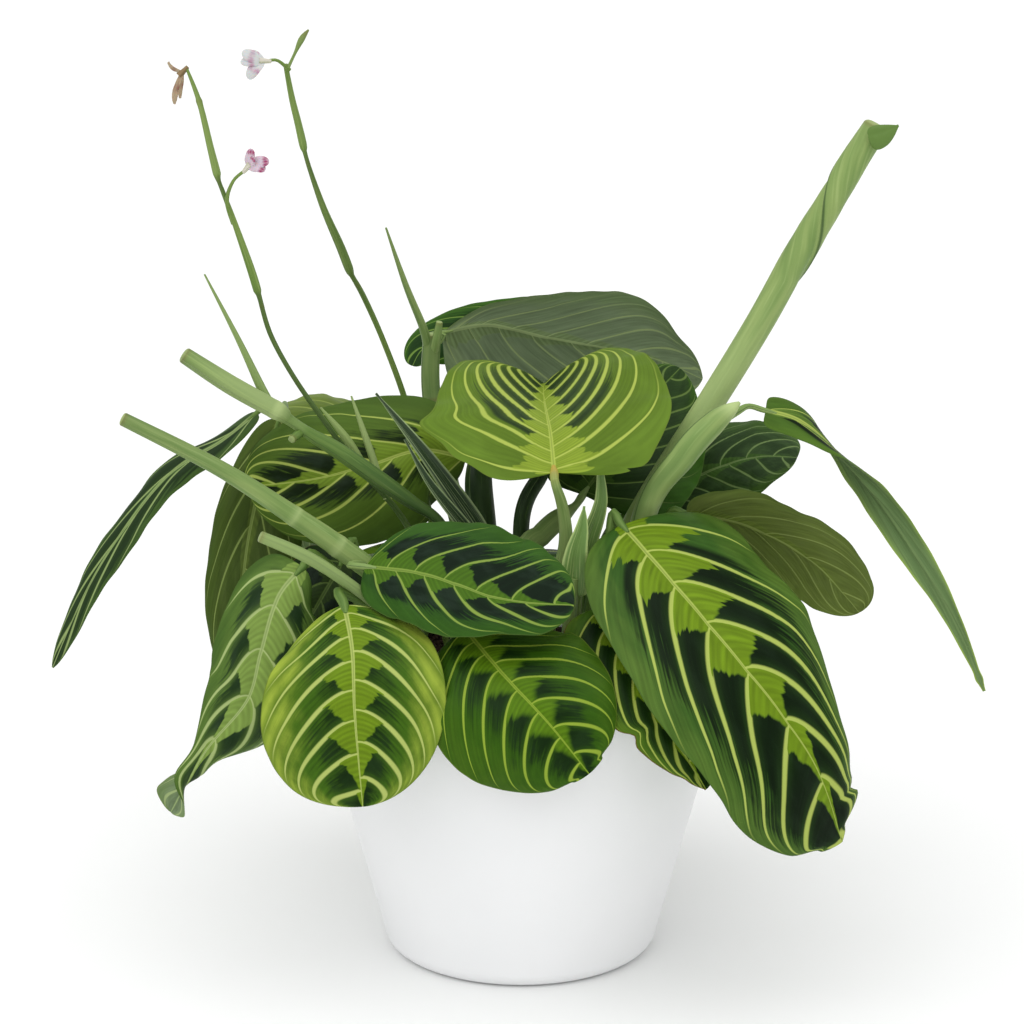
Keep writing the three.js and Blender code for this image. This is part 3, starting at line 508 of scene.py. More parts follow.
def vein_places(along, across, veins, arch, bend, shift):
    """Where a point lies among the side veins, which leave the midrib and sweep towards the tip.

    Gives how far out the point is, where on the midrib its vein starts, the count of veins up to it,
    and how fast that start changes along the blade and across it."""
    reach = abs(across)
    place = calc("MINIMUM", calc("MAXIMUM", along, 0.002), 0.998)
    sweep = arch * reach ** bend
    power = sweep + 1
    ease = 1 - sweep * SWEEP_EASE
    gone = place ** power
    left_over = 1 - gone
    rest = left_over ** ease
    start = calc("MAXIMUM", 1 - rest, 0.0001) ** CROWDING
    on_left = calc("LESS_THAN", across, 0.0)
    count = start * veins + on_left * shift + 0.5
    crowd = start ** (1 - 1 / CROWDING) * CROWDING
    share = rest * ease / left_over
    along_rate = share * power * gone / place * crowd
    first = calc("LOGARITHM", left_over, math.e) * SWEEP_EASE * rest
    second = share * gone * calc("LOGARITHM", place, math.e)
    bending = arch * bend * calc("MAXIMUM", reach, 0.01) ** (bend - 1)
    across_rate = (first + second) * bending * crowd
    return reach, start, count, along_rate, across_rate


def read_value(tree, name):
    """A value that the mesh carries at each of its points, for a geometry tree."""
    return Value(add(tree, "GeometryNodeInputNamedAttribute", {"Name": name}).outputs["Attribute"])


leaf_tree, leaf_in = node_tree(
    "leaf_growth", veins="Float", arch="Float", bend="Float", shift="Float", relief="Float",
    thickness="Float", midrib="Float", midrib_width="Float", upper="Material", underside="Material")
leaf_along = read_value(leaf_tree, "leaf_along")
leaf_reach, _, leaf_count, _, _ = vein_places(
    leaf_along, read_value(leaf_tree, "leaf_across"), leaf_in["veins"], leaf_in["arch"],
    leaf_in["bend"], leaf_in["shift"])
leaf_from_midrib = leaf_reach * read_value(leaf_tree, "half_width")
leaf_ends = abs(calc("SINE", leaf_along * math.pi)) ** 0.7

# The blade swells between its veins, less so near its edge and ends; the midrib thins out to the tip
leaf_swell = abs(calc("SINE", leaf_count * math.pi)) ** 0.6
leaf_relief = leaf_swell * (1 - leaf_reach ** 3) * (leaf_ends * leaf_in["relief"])
leaf_rib = hump(leaf_from_midrib, leaf_in["midrib_width"])
leaf_rib_size = leaf_rib * leaf_in["midrib"] * (leaf_ends * (1.1 - leaf_along))
leaf_half_thick = (1 - leaf_reach ** 8) * 0.5 * (leaf_ends ** 0.3 * leaf_in["thickness"])
leaf_normal = add(leaf_tree, "GeometryNodeInputNormal").outputs[0]


def pushed(distance):
    """The sheet moved along its own normals."""
    offset = add(leaf_tree, "ShaderNodeVectorMath", {0: leaf_normal, "Scale": distance}, operation="SCALE")
    moved = add(leaf_tree, "GeometryNodeSetPosition",
                {"Geometry": leaf_in["mesh"], "Offset": offset.outputs[0]})
    return moved.outputs[0]


leaf_upper = pushed(leaf_relief + leaf_half_thick - leaf_rib_size * 0.6)
leaf_lower = pushed(leaf_relief - (leaf_half_thick + leaf_rib_size))
leaf_lower = add(leaf_tree, "GeometryNodeStoreNamedAttribute",
                 {"Geometry": leaf_lower, "Name": "underside", "Value": True},
                 data_type="BOOLEAN", domain="FACE").outputs[0]
leaf_lower = add(leaf_tree, "GeometryNodeFlipFaces", {"Mesh": leaf_lower}).outputs[0]
leaf_both = add(leaf_tree, "GeometryNodeJoinGeometry", {"Geometry": leaf_upper})
leaf_tree.links.new(leaf_lower, leaf_both.inputs["Geometry"])
leaf_closed = add(leaf_tree, "GeometryNodeMergeByDistance",
                  {"Geometry": leaf_both.outputs[0], "Distance": 0.002 * MM}).outputs[0]
leaf_bend = Value(add(leaf_tree, "GeometryNodeInputMeshEdgeAngle").outputs["Unsigned Angle"])
leaf_shaded = add(leaf_tree, "GeometryNodeSetShadeSmooth",
                  {"Geometry": leaf_closed, "Selection": calc("GREATER_THAN", leaf_bend, 1.2),
                   "Shade Smooth": False}, domain="EDGE").outputs[0]
leaf_is_under = add(leaf_tree, "GeometryNodeInputNamedAttribute", {"Name": "underside"},
                    data_type="BOOLEAN").outputs["Attribute"]
finish_tree(leaf_tree, leaf_shaded, [(leaf_in["upper"], None), (leaf_in["underside"], leaf_is_under)])


def tint(share, first, second):
    """A mix of two colours."""
    return add(share.tree, "ShaderNodeMix", {0: share, 6: first, 7: second}, data_type="RGBA").outputs[2]


def vector(x, y, z):
    """Three values as one place."""
    return Value(add(x.tree, "ShaderNodeCombineXYZ", {0: x, 1: y, 2: z}).outputs[0])


def carried(tree, name):
    """A value that the mesh carries at each of its points, for a material."""
    return Value(add(tree, "ShaderNodeAttribute", attribute_name=name).outputs["Fac"])


# The markings of a leaf, as one group of nodes, all drawn from the place along and across the blade.
# Most sizes are shares of the blade's half width or of its length; vein_width is in millimetres.
PLAIN_MARKS = {
    "veins": 7, "arch": 1.0, "bend": 1.5, "shift": 0.35, "vein_width": 0.55, "band": 0.08, "teeth": 0.26,
    "softness": 0.015, "taper": 0.75, "base_light": 0.2, "dark_reach": 0.7, "dark_fade": 0.12,
    "dark_start": 0.05, "silver_share": 0.4, "halo": 0.35, "lines": 0.5, "seed": 1,
}
# Each set's silver patch colour is partly the leaf's own silvery tone and partly painted sheen
BRIGHT = dict(inner=(62, 98, 20), margin=(98, 130, 36), dark=(14, 36, 8), silver=(30, 52, 24),
              feather=(106, 134, 26), vein=(170, 186, 84), rim=(96, 116, 40))
DEEP = dict(inner=(38, 72, 20), margin=(52, 90, 22), dark=(8, 24, 6), silver=(44, 58, 46),
            feather=(102, 130, 24), vein=(172, 188, 92), rim=(70, 96, 40))
GREY_UNDER = dict(inner=(122, 142, 98), margin=(104, 128, 78), dark=(106, 124, 90), silver=(126, 140, 112),
                  feather=(122, 142, 96), vein=(160, 178, 122), rim=(120, 140, 80))
OLIVE_UPPER = dict(inner=(74, 92, 36), margin=(64, 84, 30), dark=(60, 78, 28), silver=(80, 96, 46),
                   feather=(82, 100, 40), vein=(128, 146, 78), rim=(82, 100, 40))
OLIVE_UNDER = dict(inner=(92, 110, 44), margin=(82, 106, 36), dark=(76, 94, 34), silver=(98, 112, 60),
                   feather=(98, 116, 48), vein=(140, 156, 84), rim=(96, 116, 48))

marks = bpy.data.node_groups.new("leaf_markings", "ShaderNodeTree")
for label in ("length", *PLAIN_MARKS):
    marks.interface.new_socket(label, in_out="INPUT", socket_type="NodeSocketFloat")
for label in BRIGHT:
    marks.interface.new_socket(label, in_out="INPUT", socket_type="NodeSocketColor")
marks.interface.new_socket("colour", in_out="OUTPUT", socket_type="NodeSocketColor")
marks.interface.new_socket("height", in_out="OUTPUT", socket_type="NodeSocketFloat")
given = {socket.name: Value(socket) for socket in marks.nodes.new("NodeGroupInput").outputs}

mark_along = carried(marks, "leaf_along")
mark_across = carried(marks, "leaf_across")
mark_half = carried(marks, "half_width")
sway = noise(vector(mark_along, mark_across, given["seed"]), 1.8, 0.0)
reach, start, count, along_rate, across_rate = vein_places(
    mark_along + (sway - 0.5) * VEIN_SWAY, mark_across, given["veins"], given["arch"], given["bend"],
    given["shift"])
toward_tip = 1 - mark_along
steepness = calc("SQRT", (along_rate / given["length"]) ** 2 + (across_rate / mark_half) ** 2)
spacing = 1 / (steepness * given["veins"])

# The feather band: widest just past each vein and cut back before the next one, with a ragged edge
ragged = noise(vector(count * 2, reach * 0.6, given["seed"]), 2.6)
tooth = (1 - calc("FRACT", count)) ** 1.1 * (ragged * 1.3 + 0.35)
band_edge = given["band"] + tooth * given["teeth"]
band_edge = band_edge * (fade(toward_tip, 0.0, given["taper"]) * 0.8 + 0.2)
band_edge = band_edge + given["base_light"] * (ragged + 0.4) * (1 - fade(mark_along, -0.1, 0.3))
outside_band = fade(reach, band_edge - given["softness"], band_edge + given["softness"])
band = 1 - outside_band

# Distance to the nearest side vein; a vein is thin inside the band and thickest just outside it
to_vein = calc("PINGPONG", count, 0.5) * spacing
vein_half = (outside_band * 0.55 + 0.45) * given["vein_width"] * (1 - fade(reach, 0.4, 1.0) * 0.75)
vein_half = calc("MINIMUM", vein_half, spacing * 0.2)
vein = 1 - fade(to_vein, vein_half * 0.5, vein_half * 1.3)
vein = vein * fade(start, 0.0, 0.015) * (1 - fade(reach, 0.84, 1.02))
halo = hump(to_vein, given["vein_width"] * 2.4) * given["halo"]

# Fine lines that run with the side veins, and streaks that break up the blotches' outer ends
fine_lines = (noise(vector(count, reach * 0.35, given["seed"]), 9.0, 1.0) - 0.5) * given["lines"]
streaks = noise(vector(count * 1.7, reach * 0.5, given["seed"]), 6.0, 3.0)
ribs = calc("SINE", count * (2 * math.pi * FINE_RIBS))

# The dark blotches: from the band outwards, with a streaky outer end and silver patches, partly the leaf's
# own silvery tone and partly painted sheen
cloud = noise(vector(mark_along * 1.5, mark_across, given["seed"]), 4.5, 4.0)
dark_end = given["dark_reach"] + (streaks - 0.5) * 0.7 + (cloud - 0.5) * 0.5
dark = 1 - fade(reach, dark_end - given["dark_fade"], dark_end + given["dark_fade"])
dark = dark * outside_band * fade(start, given["dark_start"], given["dark_start"] + 0.03)
# Silver patches: partly the leaf's own silvery tone, partly painted sheen of reflected light
silver = fade(cloud, 0.42, 0.66) * given["silver_share"]

# The midrib, a pale line with a darker groove, and the thin rim of the blade
from_midrib = reach * mark_half
midrib_half = (toward_tip * 0.85 + 0.18) * MM
midrib = 1 - fade(from_midrib, midrib_half * 0.6, midrib_half)
groove = 1 - fade(from_midrib, 0.0, midrib_half * 0.45)
rim = 1 - fade((1 - reach) * mark_half, 0.1 * MM, 0.55 * MM)

colour = tint(fade(reach + (cloud - 0.5) * 0.7, 0.45, 1.0), given["inner"], given["margin"])
colour = tint(dark * 0.96, colour, tint(silver, given["dark"], given["silver"]))
colour = tint(halo * (1 - band), colour, given["inner"])
colour = tint(band, colour, brighter(given["feather"], ribs * 0.1 + 1))
colour = brighter(brighter(colour, fine_lines + 1), cloud * 0.24 + 0.88)
colour = tint(vein * 0.92, colour, given["vein"])
colour = tint(midrib * 0.85, colour, given["vein"])
colour = tint(groove * 0.4, colour, given["inner"])
colour = tint(rim * 0.75, colour, given["rim"])
add(marks, "NodeGroupOutput", {"colour": colour, "height": fine_lines + vein * -0.35})


def leaf_material(name, sizes, colours, roughness):
    """A leaf's surface: its markings, a satin shine and fine ribs."""
    material, tree, shader = new_material(name, roughness, LEAF_SHINE)
    painted = {label: srgb(*colour) for label, colour in colours.items()}
    group = add(tree, "ShaderNodeGroup", node_tree=marks)
    for label, value in {**sizes, **painted}.items():
        group.inputs[label].default_value = value
    tree.links.new(group.outputs["colour"], shader.inputs["Base Color"])
    roughen(shader, group.outputs["height"], 0.5, 0.25 * MM)
    return material


MIDRIBS = {}


def grow_leaf(name, slot, shape, upper, under, **changes):
    """One whole leaf blade, riding in the pot; its midrib is kept, for the stalk that meets it."""
    MIDRIBS[name] = shape["midrib"]
    piece, length = blade_object(name + "_blade", shape)
    sizes = {**PLAIN_MARKS, **changes, "length": length}
    sizes["vein_width"] *= MM
    above = leaf_material(name + "_upper", sizes, upper, 0.42)
    faint = {"teeth": sizes["teeth"] * 0.6, "vein_width": sizes["vein_width"] * 0.7, "lines": 0.7,
             "silver_share": 0.3}
    below = leaf_material(name + "_underside", {**sizes, **faint}, under, 0.6)
    grown(piece, leaf_tree, veins=sizes["veins"], arch=sizes["arch"], bend=sizes["bend"],
          shift=sizes["shift"], relief=VEIN_RELIEF, thickness=LEAF_THICKNESS, midrib=MIDRIB_RELIEF,
          midrib_width=MIDRIB_WIDTH, upper=above, underside=below)
    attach(piece, "root")
    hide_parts(name)


# The two leaves that hang over the rim at the front, and the nearly level dark one above them
grow_leaf("leaf_front_left", "leaf_bright", {
    "midrib": [(-59, -56, 141), (-55.5, -73, 130), (-54.4, -82, 111), (-52, -86, 81)],
    "upper_side": [(0, -0.5, 0.87), (-0.05, -0.9, 0.4), (-0.05, -1, 0.05)],
    "half_width": 31, "sides": (0.98, 1.04), "round_left": (0.5, 0.5), "round_right": (0.6, 0.38)},
    dict(BRIGHT, margin=(152, 172, 62), vein=(176, 190, 104), feather=(102, 130, 24)), GREY_UNDER,
    veins=8, arch=0.9, bend=1.8, vein_width=0.75, taper=0.4, dark_reach=0.42, dark_fade=0.24, band=0.1,
    teeth=0.24, halo=0.6, seed=2)

grow_leaf("leaf_front_middle", "leaf_bright", {
    "midrib": [(-19, -57, 133), (-6, -73, 122), (9, -82, 108), (22, -85, 92)],
    "upper_side": [(0, -0.5, 0.87), (0.05, -0.85, 0.5), (0.1, -1, 0.1)],
    "half_width": 30, "turn_down": (0.5, 0.75), "sides": (0.97, 1.1), "round_right": (0.45, 0.44),
    "nicks": ((0, 0.97, 0.25, 0.012), (1, 0.985, 0.3, 0.01))},
    dict(BRIGHT, inner=(50, 86, 14), feather=(80, 114, 16), margin=(62, 94, 18), vein=(142, 166, 56)),
    GREY_UNDER, veins=8, arch=0.9, bend=1.7, vein_width=0.5, taper=0.5, dark_reach=0.42, dark_fade=0.2,
    band=0.05, teeth=0.26, dark_start=0.02, softness=0.05, halo=0.6, seed=5)

grow_leaf("leaf_middle_front", "leaf_dark", {
    "midrib": [(-52, -48, 152), (-35, -56, 152), (-22, -63, 150), (-10, -68, 147), (3, -72, 146),
               (17, -74, 146)],
    "upper_side": [(0, -0.55, 0.83), (0, -0.6, 0.8), (0.1, -0.65, 0.75)],
    "half_width": 25, "sides": (1.15, 0.75), "round_left": (0.35, 0.38), "round_right": (0.3, 0.5),
    "turn_down": (0.3, 0.8), "nicks": ((1, 0.74, 0.22, 0.12),)},
    dict(DEEP, inner=(40, 74, 22), margin=(52, 88, 28), feather=(68, 102, 22), dark=(8, 24, 12),
         silver=(44, 60, 48), vein=(132, 156, 68)), GREY_UNDER,
    veins=6.5, arch=0.9, vein_width=0.5, dark_reach=0.62, silver_share=0.3, band=0.08, teeth=0.3,
    dark_fade=0.08, seed=9)

# The largest leaf, arching down over the right of the pot
grow_leaf("leaf_right_front", "leaf_dark", {
    "midrib": [(34, -31, 162), (50, -53, 148), (69, -67, 128), (85, -73, 109), (98, -75, 89), (107, -71, 63)],
    "upper_side": [(0.05, -0.4, 0.9), (0.3, -0.7, 0.65), (0.5, -0.85, 0.2)],
    "half_width": 35, "sides": (1.12, 1.04), "round_left": (0.15, 0.76), "round_right": (0.4, 0.36),
    "nicks": ((0, 0.5, -0.19, 0.16), (0, 0.73, 0.06, 0.07), (0, 0.925, -0.6, 0.04), (0, 0.895, 0.2, 0.012),
              (0, 0.965, 0.3, 0.012), (1, 0.84, -0.1, 0.12), (1, 0.985, 0.3, 0.012))},
    dict(DEEP, margin=(80, 108, 42), inner=(50, 84, 28), dark=(5, 20, 4)), GREY_UNDER,
    veins=7.5, vein_width=0.95, dark_reach=0.7, silver_share=0.1, band=0.08, teeth=0.42, dark_start=0.12,
    shift=0.1, base_light=0.22, lines=0.8, softness=0.015, taper=0.9, seed=12)

# The leaf in the middle that faces the viewer, with its tip rolled back
grow_leaf("leaf_centre", "leaf_bright", {
    "midrib": [(11, -34, 181), (10, -11, 189.5), (8.5, 13, 193.5), (8, 34, 195), (8.5, 51, 194.5)],
    "upper_side": [(0, -0.45, 0.9), (0, -0.33, 0.95), (0, -0.25, 0.95)],
    "half_width": 43.5, "sides": (0.9, 1), "fold_up": (-0.08, 0.03), "fold_more": 0.76,
    "turn_down": (0.35, 0.3), "round_left": (0.34, 0.42), "round_right": (0.28, 0.38),
    "nicks": ((0, 0.1, 0.1, 0.08), (0, 0.37, -0.16, 0.06), (1, 0.05, 0.12, 0.008), (1, 0.17, 0.07, 0.1))},
    dict(BRIGHT, inner=(86, 112, 30), margin=(96, 124, 38), dark=(20, 40, 18), silver=(34, 54, 32),
         feather=(128, 150, 46)), GREY_UNDER,
    veins=9, arch=1.42, bend=1.35, vein_width=0.95, dark_reach=0.62, band=0.1, teeth=0.16, dark_start=0.26,
    silver_share=0.6, base_light=0.5, halo=0.5, seed=15)

# The large leaf at the back that shows its underside, and the leaf behind it
grow_leaf("leaf_back", "leaf_underside", {
    "midrib": [(-29, 75, 209), (-12, 80, 211), (9, 88, 205), (30, 94, 200), (51, 96, 195), (69, 92, 188)],
    "upper_side": [(0, 0.9, 0.45), (0.1, 0.93, 0.35), (0.2, 0.93, 0.3)],
    "half_width": 33, "sides": (1, 0.84), "round_left": (0.22, 0.5), "round_right": (1.1, 0.8),
    "nicks": ((1, 0.88, 0.18, 0.08), (0, 0.08, -0.3, 0.08))}, DEEP,
    dict(GREY_UNDER, inner=(134, 152, 112), margin=(118, 140, 96), dark=(122, 140, 106)),
    veins=7, arch=1.0, bend=1.2, vein_width=0.5, teeth=0.1, seed=18)

grow_leaf("leaf_back_upper", "leaf_bright", {
    "midrib": [(32, 114, 204), (2, 114, 204), (-22, 111, 201), (-36, 104, 198), (-41, 97, 192)],
    "upper_side": [(0, -0.9, 0.45), (0, -0.9, 0.45), (-0.3, -0.8, 0.4)], "half_width": 13},
    dict(DEEP, inner=(42, 80, 22), dark=(24, 52, 14), feather=(54, 92, 24), vein=(110, 140, 60)), GREY_UNDER,
    veins=5, vein_width=0.35, silver_share=0.1, teeth=0.1, seed=21)

# The dark leaves on the right, and the olive one that is seen from below
grow_leaf("leaf_back_right", "leaf_dark", {
    "midrib": [(22, 17, 161), (36, 34, 176), (49, 47, 191), (58, 52, 200)],
    "upper_side": [(-0.3, -0.8, 0.5), (-0.2, -0.85, 0.5)], "half_width": 27, "sides": (0.8, 1.22),
    "round_left": (0.2, 0.5), "round_right": (0.2, 0.5)},
    dict(DEEP, inner=(54, 80, 30), feather=(60, 88, 32), vein=(100, 124, 62), dark=(36, 58, 24),
         silver=(50, 74, 34)), GREY_UNDER, veins=8, vein_width=0.35, teeth=0.1, seed=24)

grow_leaf("leaf_right_back", "leaf_dark", {
    "midrib": [(45, 32, 154), (66, 40, 163), (84, 36, 170), (99, 28, 172)],
    "upper_side": [(0.1, -0.6, 0.78), (0.2, -0.6, 0.75)], "half_width": 23},
    dict(DEEP, inner=(60, 86, 36), margin=(52, 80, 26), feather=(58, 86, 34), vein=(108, 130, 78),
         dark=(36, 56, 26), silver=(54, 76, 40)), GREY_UNDER,
    veins=7, vein_width=0.35, teeth=0.12, silver_share=0.7, seed=27)

grow_leaf("leaf_right_low", "leaf_underside", {
    "midrib": [(58, 0, 158), (73, -4, 157), (88, -9, 152), (103, -14, 143), (117.5, -16, 127)],
    "upper_side": [(0.1, 0.75, 0.6), (0.3, 0.75, 0.6)], "half_width": 22, "sides": (0.97, 1.14),
    "round_right": (0.45, 0.45)}, DEEP,
    dict(OLIVE_UNDER, inner=(112, 128, 62), margin=(100, 118, 52), dark=(96, 112, 50)),
    veins=5, vein_width=0.4, teeth=0.08, arch=1.25, bend=1.2, seed=30)

# The two narrow hanging leaves, far out on either side
grow_leaf("leaf_far_right", "leaf_underside", {
    "midrib": [(84, -8, 197), (96, -7, 193), (108, -7, 183), (123.5, -8, 165.5), (140.5, -9, 141),
               (153, -10, 119), (163, -10, 96.5)],
    "upper_side": [(0.1, -0.8, 0.6), (0.2, 0.2, 0.9), (0.1, 0.9, 0.3), (0.1, 0.9, 0.3), (0.1, 0.9, 0.3)],
    "half_width": 7.8, "round_left": (0.15, 0.85), "round_right": (0.15, 0.85),
    "nicks": ((0, 0.97, -1.1, 0.02), (1, 0.97, -1.1, 0.02))},
    dict(DEEP, inner=(68, 98, 32), feather=(84, 112, 42), margin=(78, 108, 36)),
    dict(GREY_UNDER, inner=(112, 138, 86), margin=(128, 156, 86), dark=(100, 126, 78), silver=(96, 120, 78),
         feather=(92, 116, 72), vein=(112, 136, 86), rim=(150, 172, 62)),
    veins=3.5, bend=1.0, vein_width=0.25, base_light=0.1, seed=33)

grow_leaf("leaf_far_left", "leaf_dark", {
    "midrib": [(-92, 2, 194), (-104, -4, 185), (-117, -8, 178), (-126, -10, 170), (-140, -13, 152),
               (-152, -15, 132), (-163.5, -16, 107)],
    "upper_side": [(-0.3, -0.5, 0.8), (-0.5, -0.8, 0.3), (-0.3, -0.95, 0.1)],
    "half_width": 6.5, "turn_down": (0.7, 0.7), "round_left": (0.3, 0.55), "round_right": (0.3, 0.55)},
    dict(DEEP, inner=(62, 86, 44), margin=(66, 92, 42), feather=(72, 98, 52), vein=(146, 166, 104),
         dark=(34, 52, 26)), GREY_UNDER,
    veins=4, bend=1.0, vein_width=0.3, teeth=0.1, silver_share=0.2, base_light=0.1, seed=36)

# The leaves on the left: the large dark one and the pale one behind it
grow_leaf("leaf_left_back", "leaf_dark", {
    "midrib": [(-20, 36, 170), (-36, 31, 174), (-54, 20, 171), (-74, 6, 169), (-95, -8, 170)],
    "upper_side": [(0, -0.85, 0.5), (0, -0.85, 0.5)], "half_width": 28},
    dict(DEEP, feather=(112, 138, 42), inner=(80, 106, 36), margin=(70, 96, 34)), GREY_UNDER,
    veins=5, arch=1.35, bend=1.05, vein_width=0.5, dark_reach=0.38, band=0.04, teeth=0.3, seed=39)

grow_leaf("leaf_left_rear", "leaf_bright", {
    "midrib": [(-34, 92, 162), (-51, 86, 168), (-71, 76, 175), (-91, 64, 177)],
    "upper_side": [(0, -0.5, 0.85), (0, -0.5, 0.85)], "half_width": 20},
    dict(BRIGHT, inner=(104, 124, 52), margin=(108, 128, 54), dark=(92, 112, 44), silver=(104, 122, 58),
         feather=(112, 132, 56), vein=(138, 154, 78)), GREY_UNDER, veins=5, vein_width=0.35, seed=42)

# The hanging olive leaf, the folded one in front of it and the one below, coloured very dark as painted shade
grow_leaf("leaf_left_hanging", "leaf_underside", {
    "midrib": [(-86, 24, 187), (-90, 20, 175), (-94, 12, 159), (-97, 4, 142), (-99, -4, 118), (-98, -7, 92)],
    "upper_side": [(-0.2, -0.9, 0.4), (-0.2, -0.95, 0.1)], "half_width": 15, "sides": (1.3, 1)},
    OLIVE_UPPER, OLIVE_UNDER, veins=5, vein_width=0.35, teeth=0.1, seed=45)

grow_leaf("leaf_left_curled", "leaf_bright", {
    "midrib": [(-74, -37, 149), (-82, -43, 140), (-87.5, -48, 123), (-92.5, -50, 106), (-107, -50, 88),
               (-120, -46, 64.5)],
    "upper_side": [(-0.2, -0.9, 0.4), (-0.25, -0.95, 0.15), (-0.2, -0.95, 0), (0.6, 0.3, 0.3)],
    "half_width": 15.5, "sides": (1.25, 1.12), "round_left": (0.4, 0.5), "round_right": (0.25, 0.5),
    "turn_down": (1.5, 0.4), "nicks": ((0, 0.3, -0.2, 0.2), (0, 0.79, 0.6, 0.12), (0, 0.96, -0.3, 0.03),
                                       (1, 0.76, 0.66, 0.15), (1, 0.96, -0.5, 0.03))},
    dict(DEEP, inner=(88, 116, 50), feather=(122, 148, 70), vein=(166, 184, 118), margin=(66, 94, 38),
         dark=(24, 46, 22)), GREY_UNDER,
    veins=6, arch=0.8, bend=1.7, vein_width=0.7, band=0.22, teeth=0.2, shift=0.0, dark_reach=0.6, halo=0.7,
    seed=48)

grow_leaf("leaf_left_low", "leaf_dark", {
    "midrib": [(-61, -12, 146), (-69, -19, 133), (-82, -30, 113), (-95, -36, 96), (-105, -37, 82)],
    "upper_side": [(-0.3, -0.9, 0.3), (-0.5, -0.85, -0.1)], "half_width": 18, "round_left": (0.15, 0.6),
    "round_right": (0.15, 0.6)},
    # The very dark greens of this leaf's upper side are painted shade, for the shadow it hangs in behind the
    # front leaves; the brown rim is its own
    dict(DEEP, margin=(26, 46, 14), inner=(24, 42, 14), feather=(40, 58, 20), vein=(84, 104, 50),
         rim=(84, 56, 34)), GREY_UNDER, seed=51)

# The leaf between the front middle one and the largest, with a brown edge
grow_leaf("leaf_right_under", "leaf_bright", {
    "midrib": [(27, -47, 138), (35, -66, 125), (47, -76, 106), (61, -75, 83)],
    "upper_side": [(0.1, -0.7, 0.7), (0.3, -0.95, 0.2)], "half_width": 20, "sides": (1, 0.93),
    "round_right": (0.3, 0.85), "nicks": ((1, 0.62, 0.2, 0.03), (1, 0.9, 0.12, 0.03))},
    dict(BRIGHT, rim=(104, 58, 32), margin=(84, 112, 30)), GREY_UNDER, veins=7, seed=54)

# The leaves at the back: three that hang over the rim and two that arch above them
BACK_LEAVES = (
    ("leaf_low_back_left", "leaf_bright", BRIGHT, 60, 26,
     [(-30, 64, 130), (-42, 84, 126), (-52, 100, 108), (-56, 108, 84)],
     [(-0.2, 0.4, 0.87), (-0.4, 0.9, 0.2)]),
    ("leaf_low_back_middle", "leaf_dark", DEEP, 63, 25,
     [(2, 66, 126), (3, 84, 122), (4, 100, 104), (5, 106, 78)], [(0, 0.4, 0.87), (0, 0.95, 0.2)]),
    ("leaf_low_back_right", "leaf_bright", BRIGHT, 66, 26,
     [(32, 60, 130), (46, 76, 128), (60, 88, 110), (66, 94, 86)], [(0.2, 0.4, 0.87), (0.5, 0.85, 0.2)]),
    ("leaf_arched_back_left", "leaf_dark", DEEP, 69, 24,
     [(-46, 74, 150), (-60, 96, 150), (-71, 108, 134), (-75, 113, 112)],
     [(-0.2, 0.3, 0.9), (-0.4, 0.85, 0.3)]),
    ("leaf_arched_back_right", "leaf_bright", BRIGHT, 72, 25,
     [(36, 72, 164), (47, 99, 167), (57, 117, 154), (61, 123, 130)], [(0.1, 0.2, 0.95), (0.4, 0.85, 0.3)]),
)
for name, slot, colours, seed, half_width, midrib, upper_side in BACK_LEAVES:
    grow_leaf(name, slot, {"midrib": midrib, "upper_side": upper_side, "half_width": half_width},
              colours, GREY_UNDER, seed=seed)


# Leaf stalks and stems
# Living stalks, round and full of sap, some wrapped in a sheath whose free edge shows as a line.
# They grew out of the soil and into the leaves; the cut ones end in a dried brown rim.
STALK_FOOT = 90
STALK_COLLAR = 101
STALK_STEP = 1.4
STALK_SIDES = 30
STALK_RIBS = 5
LEAF_OVERLAP = 4.0
CUT_ROUNDING = ((0.12, 0.95), (0.24, 0.82), (0.32, 0.55), (0.36, 0.05))
CUT_BROWN = (0.35, 0.15, 0.1, 0.35)

stalk_tree, stalk_in = node_tree("stalk_growth", sides="Int", overlap="Float", ribs="Float",
                                 material="Material")
stalk_line = add(stalk_tree, "GeometryNodeMeshToCurve", {"Mesh": stalk_in["mesh"]}).outputs[0]
stalk_line = add(stalk_tree, "GeometryNodeSetCurveTilt",
                 {"Curve": stalk_line, "Tilt": read_value(stalk_tree, "stalk_turn")}).outputs[0]
stalk_ring = add(stalk_tree, "GeometryNodeCurvePrimitiveCircle",
                 {"Resolution": stalk_in["sides"], "Radius": 1.0}).outputs["Curve"]
stalk_where = add(stalk_tree, "GeometryNodeInputPosition").outputs[0]
stalk_ring = add(stalk_tree, "GeometryNodeStoreNamedAttribute",
                 {"Geometry": stalk_ring, "Name": "ring", "Value": stalk_where},
                 data_type="FLOAT_VECTOR", domain="POINT").outputs[0]
stalk_around = Value(add(stalk_tree, "GeometryNodeInputIndex").outputs[0]) / stalk_in["sides"]
stalk_rib = calc("SINE", stalk_around * (2 * math.pi * STALK_RIBS)) * stalk_in["ribs"]
stalk_scaled = add(stalk_tree, "ShaderNodeVectorMath",
                   {0: stalk_where, "Scale": 1 - stalk_around * stalk_in["overlap"] + stalk_rib},
                   operation="SCALE")
stalk_ring = add(stalk_tree, "GeometryNodeSetPosition",
                 {"Geometry": stalk_ring, "Position": stalk_scaled.outputs[0]}).outputs[0]
stalk_skin = add(stalk_tree, "GeometryNodeCurveToMesh",
                 {"Curve": stalk_line, "Profile Curve": stalk_ring,
                  "Scale": read_value(stalk_tree, "stalk_radius"), "Fill Caps": True}).outputs[0]
stalk_bend = Value(add(stalk_tree, "GeometryNodeInputMeshEdgeAngle").outputs["Unsigned Angle"])
stalk_skin = add(stalk_tree, "GeometryNodeSetShadeSmooth",
                 {"Geometry": stalk_skin, "Selection": calc("GREATER_THAN", stalk_bend, 0.7),
                  "Shade Smooth": False}, domain="EDGE").outputs[0]
finish_tree(stalk_tree, stalk_skin, [(stalk_in["material"], None)])


